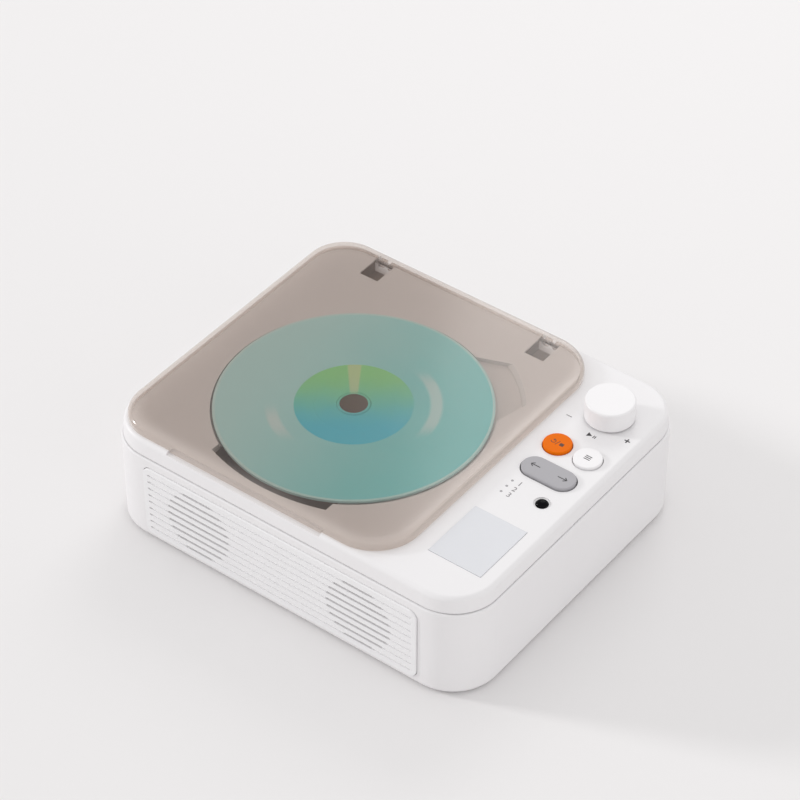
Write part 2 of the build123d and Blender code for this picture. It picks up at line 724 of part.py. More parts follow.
with BuildPart() as top_cover:
    with BuildSketch(Plane.XY.offset(cover_z)):
        with Locations((0, body_cy)):
            RectangleRounded(cover_x, cover_y, cover_corner)
    extrude(amount=cover_h, taper=cover_taper)
    fillet(top_cover.edges().group_by(Axis.Z)[-1], cover_round)
    with BuildSketch(Plane.XY.offset(cover_z)):
        with Locations((0, body_cy)):
            RectangleRounded(cover_x - 2 * cover_wall, cover_y - 2 * cover_wall, cover_corner - cover_wall)
    extrude(amount=cover_h - deck_t, taper=cover_taper, mode=Mode.SUBTRACT)
    # disc well, with the finger pocket in front and the scoop behind
    front_pocket = Plane((disc_x, disc_y, deck_z), x_dir=(0, -1, 0), z_dir=(0, 0, 1))
    pocket_under = finger_pocket_depth + pocket_wall
    with BuildSketch(Plane.XY.offset(well_under)):
        with Locations((disc_x, disc_y)):
            Circle(well_r + well_wall)
    extrude(amount=deck_under - well_under)
    with BuildSketch(front_pocket.offset(-pocket_under)):
        sector(
            finger_pocket_r - finger_pocket_in - pocket_wall,
            finger_pocket_r + pocket_wall,
            finger_pocket_half + degrees(pocket_wall / finger_pocket_r), finger_pocket_flare, finger_pocket_bow,
        )
    extrude(amount=pocket_under - deck_t)
    with BuildSketch(back_scoop.offset(-scoop_depth - pocket_wall)):
        sector(
            well_r - scoop_in - well_wall, scoop_r + pocket_wall,
            scoop_half + degrees(pocket_wall / scoop_r), scoop_flare,
        )
    extrude(amount=scoop_depth + pocket_wall - deck_t)
    with BuildSketch(Plane.XY.offset(well_z)):
        with Locations((disc_x, disc_y)):
            Circle(well_r)
    extrude(amount=deck_z - well_z, mode=Mode.SUBTRACT)
    with BuildSketch(front_pocket.offset(-finger_pocket_depth)):
        sector(
            finger_pocket_r - finger_pocket_in, finger_pocket_r, finger_pocket_half,
            finger_pocket_flare, finger_pocket_bow,
        )
    extrude(amount=finger_pocket_depth, mode=Mode.SUBTRACT)
    add(scoop_cut.part, mode=Mode.SUBTRACT)
    # window for the platter and the lens
    with BuildSketch(Plane.XY.offset(well_under)):
        with Locations((disc_x, disc_y)):
            Circle(platter_window_r)
        with Locations((disc_x - lens_window_reach / 2, disc_y)):
            RectangleRounded(lens_window_reach, 2 * lens_window_half_y, 5.0)
    extrude(amount=well_floor_t, mode=Mode.SUBTRACT)
    # hinge cheeks, pockets and the notches behind them
    with BuildSketch(Plane.XY.offset(deck_z - pocket_drop - pocket_floor_t)):
        with Locations(*[(x, (pocket_front + pocket_back) / 2) for x in hinge_places]):
            Rectangle(cheek_x, pocket_back - pocket_front + hinge_cheek)
    extrude(amount=pocket_drop + pocket_floor_t - deck_t)
    with BuildSketch(Plane.XY.offset(deck_z - pocket_drop)):
        with Locations(*[(x, (pocket_front + pocket_back) / 2) for x in hinge_places]):
            Rectangle(pocket_x, pocket_back - pocket_front)
    extrude(amount=pocket_drop, mode=Mode.SUBTRACT)
    with BuildSketch(Plane.XY.offset(deck_z - pocket_drop)):
        with Locations(*[(x, back_y) for x in hinge_places]):
            Rectangle(pocket_x, 2 * (back_y - pocket_back + 0.5))
    extrude(amount=pocket_drop, mode=Mode.SUBTRACT)
    for place in hinge_places:
        with BuildSketch(Plane.YZ.offset(place - cheek_x / 2)):
            with Locations((hinge_y, hinge_z)):
                Circle(pin_r + press_clear)
        extrude(amount=cheek_x, mode=Mode.SUBTRACT)
    # recess for the lip along the lid's front edge
    with BuildSketch(Plane.XY.offset(lift_recess_z)):
        with Locations((lid_cx, lid_front + lift_recess_in - lift_recess_y / 2)):
            RectangleRounded(lift_lip_x + 2 * lift_recess_clear, lift_recess_y, lift_recess_corner)
    extrude(amount=deck_z - lift_recess_z, mode=Mode.SUBTRACT)
    # openings of the control strip
    with BuildSketch(Plane.XY.offset(deck_under)):
        with Locations((strip_x, knob_y)):
            Circle(shaft_hole_r)
        with Locations((power_x, button_y), (mode_x, button_y)):
            Circle(button_r + button_clear)
        with Locations((strip_x, rocker_y)):
            SlotOverall(rocker_l + 2 * rocker_clear, rocker_w + 2 * rocker_clear)
        with Locations(*[(led_x, y) for y in led_y]):
            Circle(led_r + press_clear)
        with Locations((ir_x, ir_y)):
            Circle(ir_r + ir_clear)
    extrude(amount=deck_t, mode=Mode.SUBTRACT)
    with BuildSketch(Plane.XY.offset(deck_z - ir_recess_depth)):
        with Locations((ir_x, ir_y)):
            Circle(ir_recess_r)
    extrude(amount=ir_recess_depth, mode=Mode.SUBTRACT)
    with BuildSketch(Plane.XY.offset(deck_z - plate_recess)):
        with Locations((strip_x, plate_y)):
            Rectangle(plate_w + 2 * plate_clear, plate_h + 2 * plate_clear)
    extrude(amount=plate_recess, mode=Mode.SUBTRACT)
    # bosses for the case screws, the control board and the isolators
    for places, radius, low, high, pilot, deep in (
        (post_places, cover_boss_r, post_top, deck_under, case_screw_r, case_screw_l - screw_seat_t + 1.0),
        (cboard_screws, boss_small_r, cboard_top, deck_under, chassis_screw_r, board_drop - 1.0),
        (isolator_places, isolator_post_r, isolator_end, well_under, chassis_screw_r, isolator_post_l),
    ):
        with BuildSketch(Plane.XY.offset(low)):
            with Locations(*places):
                Circle(radius)
        extrude(amount=high - low)
        with BuildSketch(Plane.XY.offset(low)):
            with Locations(*places):
                Circle(pilot + pilot_clear)
        extrude(amount=deep, mode=Mode.SUBTRACT)
    # lugs that carry the rocker's pin
    with BuildSketch(Plane.XY.offset(rocker_hub_z)):
        with Locations(*[(strip_x, rocker_y + s * lug_y) for s in (-1, 1)]):
            Rectangle(rocker_hub, rocker_lug_t)
    extrude(amount=deck_under - rocker_hub_z)
    with BuildSketch(Plane.XZ.offset(-rocker_y - lug_y - rocker_lug_t)):
        with Locations((strip_x, rocker_pin_z)):
            Circle(rocker_pin_r + press_clear)
    extrude(amount=2 * (lug_y + rocker_lug_t), mode=Mode.SUBTRACT)
save(top_cover.part, "top_cover")

# ---------------------------------------------------------------- lid with its two hinge lugs
with BuildPart() as lid:
    with BuildSketch(Plane.XY.offset(lid_z)) as lid_outline:
        with Locations((lid_cx, lid_cy)):
            Rectangle(lid_w, lid_d)
        fillet(lid_outline.vertices().group_by(Axis.X)[0], lid_corner)
        fillet(lid_outline.vertices().group_by(Axis.X)[-1], lid_free_corner)
    extrude(amount=lid_h)
    fillet(lid.edges().group_by(Axis.Z)[-1], lid_round)
    with BuildSketch(Plane.XY.offset(lid_z)):
        add(lid_outline.sketch)
        offset(amount=-lid_skirt, mode=Mode.REPLACE)
    extrude(amount=lid_h - lid_t, mode=Mode.SUBTRACT)
    with BuildSketch(Plane.XY.offset(lid_z - lift_lip_h)):
        with Locations((lid_cx, lid_front + lid_skirt / 2)):
            Rectangle(lift_lip_x, lid_skirt)
    extrude(amount=lift_lip_h)
    lid_under = lid_z + lid_h - lid_t
    for place in hinge_places:
        for side in (-1, 1):
            ear_x = place + side * (ear_gap + ear_t) / 2
            with BuildSketch(Plane.YZ.offset(ear_x - ear_t / 2)):
                with Locations((hinge_y, hinge_z)):
                    Circle(lug_r)
                with BuildLine():
                    Polyline(
                        (lid_back, lid_under), (hinge_y - ear_root, lid_under), (hinge_y - lug_r, hinge_z),
                        (hinge_y, hinge_z), (lid_back, lid_z), close=True,
                    )
                make_face()
                with Locations((hinge_y, hinge_z)):
                    Circle(pin_r + pin_play, mode=Mode.SUBTRACT)
            extrude(amount=ear_t)
save(lid.part, "lid")

for place, side in zip(hinge_places, ("left", "right")):
    with BuildPart() as hinge_pin:
        with BuildSketch(Plane.YZ.offset(place - cheek_x / 2)):
            with Locations((hinge_y, hinge_z)):
                Circle(pin_r)
        extrude(amount=cheek_x)
        chamfer(hinge_pin.edges().filter_by(GeomType.CIRCLE), 0.2)
    save(hinge_pin.part, f"hinge_pin_{side}")

# ---------------------------------------------------------------- speaker grille
with BuildPart() as front_grille:
    grille_face = Plane.XZ.offset(-front_y + grille_proud)
    with BuildSketch(grille_face):
        with Locations((0, grille_z)):
            RectangleRounded(grille_x, grille_h, grille_corner)
    extrude(amount=-grille_t)
    fillet(front_grille.edges().group_by(Axis.Y)[0], grille_edge)
    with BuildSketch(grille_face):
        with Locations(*[(0, z) for z in groove_rows]):
            SlotOverall(grille_x - 2 * groove_margin, groove_w)
    extrude(amount=-groove_depth, mode=Mode.SUBTRACT)
    with BuildSketch(grille_face):
        for centre in speaker_places:
            for z in groove_rows:
                chord = 2 * sqrt(speaker_open_r**2 - (z - grille_z) ** 2)
                with Locations((centre, z)):
                    SlotOverall(chord, slot_w)
    extrude(amount=-grille_t, mode=Mode.SUBTRACT)
    with BuildSketch(Plane.XZ.offset(-front_y - grille_sink)):
        with Locations(*peg_places):
            Circle(peg_r)
    extrude(amount=-(wall + speaker_pad_t - grille_sink))
save(front_grille.part, "front_grille")

# ---------------------------------------------------------------- speakers, one behind each slotted circle
basket_back = basket_depth + basket_plate_t
for centre, side in zip(speaker_places, ("left", "right")):
    axis_line = Axis((centre, speaker_seat_y, grille_z), (0, 1, 0))
    section = Plane((centre, speaker_seat_y, grille_z), x_dir=(1, 0, 0), z_dir=(0, 0, 1))
    face = Plane((centre, speaker_seat_y, grille_z), x_dir=(1, 0, 0), z_dir=(0, 1, 0))
    with BuildPart() as speaker_frame:
        with BuildSketch(face):
            RectangleRounded(flange_w, flange_w, flange_corner)
            Circle(flange_bore_r, mode=Mode.SUBTRACT)
        extrude(amount=flange_t)
        with BuildSketch(section):
            with BuildLine():
                Polyline(
                    (flange_bore_r, 0), (flange_bore_r + basket_t, 0), (flange_bore_r + basket_t, flange_t),
                    (basket_r, basket_depth), (basket_r, basket_back), (basket_hole_r, basket_back),
                    (basket_hole_r, basket_depth), (basket_r - basket_t, basket_depth),
                    (flange_bore_r, flange_t), close=True,
                )
            make_face()
        revolve(axis=axis_line)
        with BuildSketch(face.offset(flange_t + 0.8)):
            with PolarLocations(flange_bore_r, 4):
                Rectangle(basket_window_w, 1.4 * basket_window_w)
        extrude(amount=basket_depth - flange_t - 1.6, mode=Mode.SUBTRACT)
        with BuildSketch(Plane.XZ.offset(-speaker_seat_y)):
            with Locations(*speaker_screw_places):
                Circle(speaker_screw_r + pilot_clear)
        extrude(amount=-flange_t, mode=Mode.SUBTRACT)
    save(speaker_frame.part, f"speaker_frame_{side}")

    cone_back = cone_set + cone_depth
    with BuildPart() as speaker_cone:
        with BuildSketch(section):
            with BuildLine():
                cap = ThreePointArc(
                    (0, cone_back - cone_t - dome_rise),
                    (0.6 * cone_inner_r, cone_back - cone_t - 0.7 * dome_rise),
                    (cone_inner_r, cone_back - cone_t),
                )
                Polyline(
                    cap @ 1, (cone_r, cone_set), (cone_r, cone_set + cone_t), (cone_inner_r, cone_back),
                    (0, cone_back), cap @ 0,
                )
            make_face()
        revolve(axis=axis_line)
    save(speaker_cone.part, f"speaker_cone_{side}")

    with BuildPart() as surround:
        roll_x = (flange_bore_r + cone_r) / 2
        with BuildSketch(section):
            with BuildLine():
                over = ThreePointArc(
                    (cone_r, cone_set), (roll_x, cone_set - roll_rise), (flange_bore_r, cone_set)
                )
                under = ThreePointArc(
                    (cone_r, cone_set + roll_t), (roll_x, cone_set + roll_t - roll_rise),
                    (flange_bore_r, cone_set + roll_t),
                )
                Line(over @ 0, under @ 0)
                Line(over @ 1, under @ 1)
            make_face()
        revolve(axis=axis_line)
    save(surround.part, f"speaker_surround_{side}")

    with BuildPart() as magnet:
        with BuildSketch(face.offset(basket_back)):
            Circle(magnet_r)
        extrude(amount=magnet_t)
        chamfer(magnet.edges().group_by(Axis.Y)[-1], magnet_round)
    save(magnet.part, f"speaker_magnet_{side}")

# ---------------------------------------------------------------- disc and turntable
with BuildPart() as disc:
    with BuildSketch(Plane.XY.offset(disc_bottom)):
        with Locations((disc_x, disc_y)):
            Circle(disc_d / 2)
            Circle(disc_hole_d / 2, mode=Mode.SUBTRACT)
    extrude(amount=disc_t)
    with BuildSketch(Plane.XY.offset(disc_bottom - stack_ring_h)):
        with Locations((disc_x, disc_y)):
            Circle(stack_ring_d / 2)
            Circle(stack_ring_d / 2 - stack_ring_w, mode=Mode.SUBTRACT)
    extrude(amount=stack_ring_h)
save(disc.part, "disc")

spindle_axis = Axis((disc_x, disc_y, 0), (0, 0, 1))
spindle_section = Plane((disc_x, disc_y, 0), x_dir=(1, 0, 0), z_dir=(0, -1, 0))
boss_top = disc_top + boss_rise
with BuildPart() as turntable:
    with BuildSketch(spindle_section):
        with BuildLine():
            Polyline(
                (spindle_r, disc_bottom - platter_t - hub_h), (hub_r, disc_bottom - platter_t - hub_h),
                (hub_r, disc_bottom - platter_t), (platter_r - 0.4, disc_bottom - platter_t),
                (platter_r, disc_bottom - platter_t + 0.4), (platter_r, disc_bottom),
                (boss_r, disc_bottom), (boss_r, disc_top - 0.2), (boss_r - 0.5, boss_top),
                (cap_r, boss_top), (cap_r, boss_top - cap_sink), (spindle_r, boss_top - cap_sink), close=True,
            )
        make_face()
    revolve(axis=spindle_axis)
    with BuildSketch(Plane.XY.offset(disc_bottom)):
        with Locations((disc_x, disc_y)):
            with PolarLocations(boss_r + 0.3, 3, start_angle=90):
                Rectangle(catch_l, catch_w)
                Rectangle(catch_l, catch_w, rotation=90)
    extrude(amount=catch_depth, mode=Mode.SUBTRACT)
save(turntable.part, "turntable")

with BuildPart() as spindle_cap:
    with BuildSketch(spindle_section):
        with BuildLine():
            crown = ThreePointArc(
                (0, boss_top + cap_rise), (cap_r * 0.55, boss_top + 0.7 * cap_rise),
                (cap_r - cap_clear, boss_top - 0.1),
            )
            Polyline(crown @ 1, (cap_r - cap_clear, boss_top - cap_sink), (0, boss_top - cap_sink), crown @ 0)
        make_face()
    revolve(axis=spindle_axis)
save(spindle_cap.part, "spindle_cap")

motor_top = chassis_z
with BuildPart() as spindle_shaft:
    with BuildSketch(Plane.XY.offset(motor_top - motor_h + motor_base_t)):
        with Locations((disc_x, disc_y)):
            Circle(spindle_r)
    extrude(amount=boss_top - cap_sink - motor_top + motor_h - motor_base_t)
save(spindle_shaft.part, "spindle_shaft")

with BuildPart() as spindle_motor:
    with BuildSketch(Plane.XY.offset(motor_top - motor_h)):
        with Locations((disc_x, disc_y)):
            Circle(motor_r)
    extrude(amount=motor_h)
    chamfer(spindle_motor.edges().group_by(Axis.Z)[0], motor_edge)
    with BuildSketch(Plane.XY.offset(motor_top)):
        with Locations((disc_x, disc_y)):
            Circle(motor_collar_r)
    extrude(amount=chassis_t + motor_collar_up)
    with BuildSketch(Plane.XY.offset(motor_top - motor_h + motor_base_t)):
        with Locations((disc_x, disc_y)):
            Circle(spindle_r + shaft_play)
    extrude(amount=motor_h + chassis_t, mode=Mode.SUBTRACT)
save(spindle_motor.part, "spindle_motor")

# ---------------------------------------------------------------- mechanism chassis and guide rods
with BuildPart() as chassis:
    with BuildSketch(Plane.XY.offset(chassis_z)):
        with Locations((disc_x + (chassis_right - chassis_left) / 2, disc_y)):
            RectangleRounded(chassis_left + chassis_right, 2 * chassis_half_y, chassis_corner)
        with Locations((motor_x, motor_y)):
            Circle(sled_motor_r + 1.5)
        with Locations((motor_x, (motor_y + disc_y + chassis_half_y) / 2 - 2.0)):
            Rectangle(2 * sled_motor_r + 3.0, motor_y - disc_y - chassis_half_y + 4.0)
        with Locations(((window_left + window_right) / 2, disc_y)):
            RectangleRounded(window_right - window_left, 2 * sled_window_half_y, 2.0, mode=Mode.SUBTRACT)
        with Locations((disc_x, disc_y)):
            Circle(motor_collar_r + hole_slack, mode=Mode.SUBTRACT)
        with Locations(*isolator_places):
            Circle(isolator_waist, mode=Mode.SUBTRACT)
        with Locations((motor_x, motor_y)):
            Circle(pinion_shaft_r + 12 * hole_slack, mode=Mode.SUBTRACT)
    extrude(amount=chassis_t)
    # lugs that hold the ends of the guide rods
    lug_drop = chassis_z - rod_z + rod_r + rod_wall
    for x in (window_left - rod_lug_t / 2, window_right + rod_lug_t / 2):
        with BuildSketch(Plane.XY.offset(chassis_z - lug_drop)):
            with Locations(*[(x, disc_y + s * rod_half_y) for s in (-1, 1)]):
                Rectangle(rod_lug_t, rod_lug_w)
        extrude(amount=lug_drop)
    with BuildSketch(Plane.YZ.offset(window_left - rod_lug_t)):
        with Locations((disc_y - rod_half_y, rod_z)):
            Circle(rod_r + fit_play)
        with Locations((disc_y + rod_half_y, rod_z)):
            Circle(side_rod_r + fit_play)
    extrude(amount=window_right - window_left + 2 * rod_lug_t, mode=Mode.SUBTRACT)
    # post of the double gear
    with BuildSketch(Plane.XY.offset(rack_z + gear_t + gear_post_gap)):
        with Locations((gear_x, gear_y)):
            Circle(gear_post_r)
    extrude(amount=chassis_z - rack_z - gear_t - gear_post_gap)
    with BuildSketch(Plane.XY.offset(wheel_z - gear_pin_out)):
        with Locations((gear_x, gear_y)):
            Circle(gear_pin_r)
    extrude(amount=chassis_z - wheel_z + gear_pin_out)
save(chassis.part, "mechanism_chassis")

for name, radius, turn in (("main_guide_rod", rod_r, -1), ("side_guide_rod", side_rod_r, 1)):
    with BuildPart() as guide_rod:
        with BuildSketch(Plane.YZ.offset(window_left - rod_lug_t)):
            with Locations((disc_y + turn * rod_half_y, rod_z)):
                Circle(radius)
        extrude(amount=window_right - window_left + 2 * rod_lug_t)
    save(guide_rod.part, name)

with BuildPart() as isolators:
    for place in isolator_places:
        with BuildSketch(Plane.XY.offset(isolator_z)):
            with Locations(place):
                Circle(isolator_r)
        extrude(amount=isolator_h)
    with BuildSketch(Plane.XY.offset(chassis_z)):
        with Locations(*isolator_places):
            Circle(isolator_r)
            Circle(isolator_waist, mode=Mode.SUBTRACT)
    extrude(amount=chassis_t, mode=Mode.SUBTRACT)
    with BuildSketch(Plane.XY.offset(isolator_z)):
        with Locations(*isolator_places):
            Circle(isolator_post_r)
    extrude(amount=isolator_h, mode=Mode.SUBTRACT)
save(isolators.part, "rubber_isolators")

with BuildPart() as chassis_screws:
    with BuildSketch(Plane.XY.offset(isolator_end - screw_cap_t)):
        with Locations(*isolator_places):
            Circle(isolator_post_r + screw_cap_out)
    extrude(amount=screw_cap_t)
    with BuildSketch(Plane.XY.offset(isolator_end)):
        with Locations(*isolator_places):
            Circle(chassis_screw_r)
    extrude(amount=well_under - isolator_end)
save(chassis_screws.part, "chassis_screws")

# ---------------------------------------------------------------- pickup sled, lens and drive
with BuildPart() as sled:
    with BuildSketch(Plane.XY.offset(rack_z)):
        with Locations((lens_x, disc_y)):
            RectangleRounded(sled_x, sled_y, 2.0)
    extrude(amount=sled_h)
    with BuildSketch(Plane.XY.offset(rack_z)):
        with Locations((lens_x, disc_y)):
            Rectangle(sled_x - 2 * sled_end_t, 2 * (rod_half_y - rod_r - sled_end_t))
    extrude(amount=sled_h - sled_top_t, mode=Mode.SUBTRACT)
    # bearing bore on the main rod, open fork on the side rod
    with BuildSketch(Plane.YZ.offset(lens_x - sled_x / 2)):
        with Locations((disc_y - rod_half_y, rod_z)):
            Circle(rod_r + rod_play)
        with Locations((disc_y + rod_half_y + 2.0, rod_z)):
            Rectangle(4.0 + 2 * (side_rod_r + rod_play), 2 * (side_rod_r + rod_play))
    extrude(amount=sled_x, mode=Mode.SUBTRACT)
    # well around the lens actuator
    with BuildSketch(Plane.XY.offset(sled_top - lens_well_depth)):
        with Locations((lens_x, disc_y)):
            RectangleRounded(sled_x - 2 * lens_well_margin, 2 * (lens_window_half_y - 1.0), 1.0)
    extrude(amount=lens_well_depth, mode=Mode.SUBTRACT)
save(sled.part, "pickup_sled")

with BuildPart() as sled_rack:
    rack_right = lens_x + lens_inner + 5.0
    rack_left = rack_right - rack_teeth * gear_module * pi
    with BuildSketch(Plane.XY.offset(rack_z)):
        with Locations(((rack_left + rack_right) / 2, rack_back + rack_bar / 2)):
            Rectangle(rack_right - rack_left, rack_bar)
        with BuildLine():
            pitch = gear_module * pi
            base_y = rack_back + rack_bar - gear_module / 4
            tip_y = rack_pitch_y + gear_module * 0.85
            teeth_line = [(rack_left, base_y)]
            for i in range(rack_teeth):
                middle = rack_left + (i + 0.5) * pitch
                for share, y in ((-0.36, base_y), (-0.14, tip_y), (0.14, tip_y), (0.36, base_y)):
                    teeth_line.append((middle + share * pitch, y))
            teeth_line.append((rack_right, base_y))
            Polyline(*teeth_line)
            Polyline(teeth_line[-1], (rack_right, base_y - 0.4), (rack_left, base_y - 0.4), teeth_line[0])
        make_face()
    extrude(amount=gear_t)
save(sled_rack.part, "sled_rack")

with BuildPart() as lens_holder:
    with BuildSketch(Plane.XY.offset(sled_top - lens_well_depth)):
        with Locations((lens_x, disc_y)):
            Circle(lens_r)
    extrude(amount=lens_top - sled_top + lens_well_depth)
    with BuildSketch(Plane.XY.offset(lens_top)):
        with Locations((lens_x, disc_y)):
            Circle(lens_r - lens_rim)
    extrude(amount=-lens_dish, mode=Mode.SUBTRACT)
    with BuildSketch(Plane.XY.offset(lens_top - lens_dish)):
        with Locations((lens_x, disc_y)):
            Circle(lens_r - lens_rim - lens_edge)
    extrude(amount=lens_dish, taper=40)
save(lens_holder.part, "objective_lens")

# the rack's gap and the pinion's tooth meet on the line from gear to rack
rack_phase = ((gear_x - rack_left) / (gear_module * pi)) % 1.0
pinion_turn = -90.0 - rack_phase * 360.0 / pinion_teeth
wheel_turn = sled_motor_angle
motor_turn = sled_motor_angle + 180.0 + 180.0 / motor_teeth
with BuildPart() as drive_gear:
    with BuildSketch(Plane((gear_x, gear_y, rack_z)).rotated((0, 0, pinion_turn))):
        gear_outline(pinion_teeth, gear_module)
    extrude(amount=gear_t)
    with BuildSketch(Plane((gear_x, gear_y, wheel_z)).rotated((0, 0, wheel_turn))):
        gear_outline(wheel_teeth, gear_module)
    extrude(amount=gear_t)
    with BuildSketch(Plane.XY.offset(wheel_z + gear_t)):
        with Locations((gear_x, gear_y)):
            Circle(gear_post_r)
    extrude(amount=gear_level_gap)
    with BuildSketch(Plane.XY.offset(wheel_z)):
        with Locations((gear_x, gear_y)):
            Circle(gear_pin_r + shaft_play)
    extrude(amount=rack_z - wheel_z + gear_t, mode=Mode.SUBTRACT)
save(drive_gear.part, "drive_gear")

sled_motor_z = chassis_z - sled_motor_h
with BuildPart() as motor_pinion:
    with BuildSketch(Plane((motor_x, motor_y, wheel_z)).rotated((0, 0, motor_turn))):
        gear_outline(motor_teeth, gear_module)
    extrude(amount=gear_t)
    with BuildSketch(Plane.XY.offset(wheel_z + gear_t)):
        with Locations((motor_x, motor_y)):
            Circle(pinion_shaft_r)
    extrude(amount=sled_motor_z - wheel_z - gear_t + pinion_shaft_in)
save(motor_pinion.part, "motor_pinion")

with BuildPart() as sled_motor:
    with BuildSketch(Plane.XY.offset(sled_motor_z)):
        with Locations((motor_x, motor_y)):
            Circle(sled_motor_r)
            Rectangle(2 * sled_motor_r, sled_motor_flat, mode=Mode.INTERSECT)
    extrude(amount=sled_motor_h)
    with BuildSketch(Plane.XY.offset(sled_motor_z)):
        with Locations((motor_x, motor_y)):
            Circle(pinion_shaft_r + shaft_play)
    extrude(amount=pinion_shaft_in + motor_base_t, mode=Mode.SUBTRACT)
save(sled_motor.part, "sled_motor")

# ---------------------------------------------------------------- knob, buttons and rocker
with BuildPart() as volume_knob:
    with BuildSketch(Plane.XY.offset(deck_z + knob_gap)):
        with Locations((strip_x, knob_y)):
            Circle(knob_r)
    extrude(amount=knob_h)
    fillet(volume_knob.edges().group_by(Axis.Z)[-1], knob_round)
    fillet(volume_knob.edges().group_by(Axis.Z)[0], knob_foot_edge)
    with BuildSketch(Plane.XY.offset(deck_z + knob_gap)):
        with Locations((strip_x, knob_y)):
            Circle(knob_r - knob_wall)
            Circle(shaft_r + knob_wall, mode=Mode.SUBTRACT)
    extrude(amount=knob_h - knob_top_t, mode=Mode.SUBTRACT)
    with BuildSketch(Plane.XY.offset(deck_z + knob_gap)):
        with Locations((strip_x, knob_y)):
            Circle(shaft_r + fit_play)
            with Locations((0, shaft_r)):
                Rectangle(2 * shaft_r, flat_cut, mode=Mode.SUBTRACT)
    extrude(amount=shaft_top - knob_gap + fit_play, mode=Mode.SUBTRACT)
save(volume_knob.part, "volume_knob")

encoder_top = cboard_top + encoder_h
encoder_lid_z = encoder_top + rotor_t + 2 * rotor_gap
bushing_z = encoder_lid_z + encoder_lid_t
with BuildPart() as encoder_shaft:
    with BuildSketch(Plane.XY.offset(encoder_top - shaft_seat)):
        with Locations((strip_x, knob_y)):
            Circle(shaft_r - shaft_step)
    extrude(amount=deck_z + knob_gap - encoder_top + shaft_seat)
    with BuildSketch(Plane.XY.offset(deck_z + knob_gap)):
        with Locations((strip_x, knob_y)):
            Circle(shaft_r)
            with Locations((0, shaft_r)):
                Rectangle(2 * shaft_r, flat_cut + flat_play, mode=Mode.SUBTRACT)
    extrude(amount=shaft_top - knob_gap)
save(encoder_shaft.part, "encoder_shaft")

with BuildPart() as encoder_rotor:
    with BuildSketch(Plane.XY.offset(encoder_top + rotor_gap)):
        with Locations((strip_x, knob_y)):
            Circle(shaft_r + rotor_margin)
            Circle(shaft_r - shaft_step + bushing_play, mode=Mode.SUBTRACT)
    extrude(amount=rotor_t)
save(encoder_rotor.part, "encoder_rotor")

with BuildPart() as volume_encoder:
    with BuildSketch(Plane.XY.offset(cboard_top)):
        with Locations((strip_x, knob_y)):
            Rectangle(encoder_w, encoder_w)
    extrude(amount=encoder_h)
    with BuildSketch(Plane.XY.offset(encoder_top)):
        with Locations((strip_x, knob_y)):
            Rectangle(encoder_w, encoder_w)
            Circle(shaft_r + rotor_margin + rotor_gap, mode=Mode.SUBTRACT)
    extrude(amount=encoder_lid_z - encoder_top)
    with BuildSketch(Plane.XY.offset(encoder_lid_z)):
        with Locations((strip_x, knob_y)):
            Rectangle(encoder_w, encoder_w)
            Circle(shaft_r - shaft_step + bushing_play, mode=Mode.SUBTRACT)
    extrude(amount=encoder_lid_t)
    with BuildSketch(Plane.XY.offset(bushing_z)):
        with Locations((strip_x, knob_y)):
            Circle(bushing_r)
            Circle(shaft_r - shaft_step + bushing_play, mode=Mode.SUBTRACT)
    extrude(amount=deck_under - bushing_z + bushing_over)
    with BuildSketch(Plane.XY.offset(encoder_top - shaft_seat - knob_travel - rotor_gap)):
        with Locations((strip_x, knob_y)):
            Circle(shaft_r - shaft_step + bushing_play)
    extrude(amount=shaft_seat + rotor_gap + knob_travel, mode=Mode.SUBTRACT)
save(volume_encoder.part, "volume_encoder")

for name, place in button_places.items():
    with BuildPart() as button:
        with BuildSketch(Plane.XY.offset(deck_under - button_flange - button_flange_gap)):
            with Locations((place, button_y)):
                Circle(button_r)
        extrude(amount=deck_t + button_proud + button_flange + button_flange_gap)
        fillet(button.edges().group_by(Axis.Z)[-1], button_edge)
        with BuildSketch(Plane.XY.offset(deck_under - button_flange - button_flange_gap)):
            with Locations((place, button_y)):
                Circle(button_r + button_flange_out)
        extrude(amount=button_flange)
        with BuildSketch(Plane.XY.offset(button_foot)):
            with Locations((place, button_y)):
                Circle(button_foot_r)
        extrude(amount=deck_under - button_flange - button_foot)
    save(button.part, name)

with BuildPart() as skip_rocker:
    with BuildSketch(Plane.XY.offset(rocker_foot)):
        with Locations((strip_x, rocker_y)):
            SlotOverall(rocker_l, rocker_w)
    extrude(amount=deck_z + rocker_proud - rocker_foot)
    fillet(skip_rocker.edges().group_by(Axis.Z)[-1], rocker_edge)
    with BuildSketch(Plane.XY.offset(rocker_hub_z)):
        with Locations((strip_x, rocker_y)):
            Rectangle(rocker_hub, rocker_w)
    extrude(amount=rocker_foot - rocker_hub_z)
    with BuildSketch(Plane.XZ.offset(-rocker_y - rocker_w)):
        with Locations((strip_x, rocker_pin_z)):
            Circle(rocker_pin_r + pin_play)
    extrude(amount=2 * rocker_w, mode=Mode.SUBTRACT)
save(skip_rocker.part, "skip_rocker")

with BuildPart() as rocker_pin:
    with BuildSketch(Plane.XZ.offset(-rocker_y - lug_y - rocker_lug_t / 2)):
        with Locations((strip_x, rocker_pin_z)):
            Circle(rocker_pin_r)
    extrude(amount=2 * lug_y + rocker_lug_t)
save(rocker_pin.part, "rocker_pin")

# ---------------------------------------------------------------- small parts of the control strip
with BuildPart() as control_board:
    with BuildSketch(Plane.XY.offset(cboard_top - board_t)):
        with Locations((strip_x, cboard_y)):
            Rectangle(cboard_x, cboard_d)
        with Locations(*cboard_screws):
            Circle(chassis_screw_r + screw_slack, mode=Mode.SUBTRACT)
    extrude(amount=board_t)
save(control_board.part, "control_board")

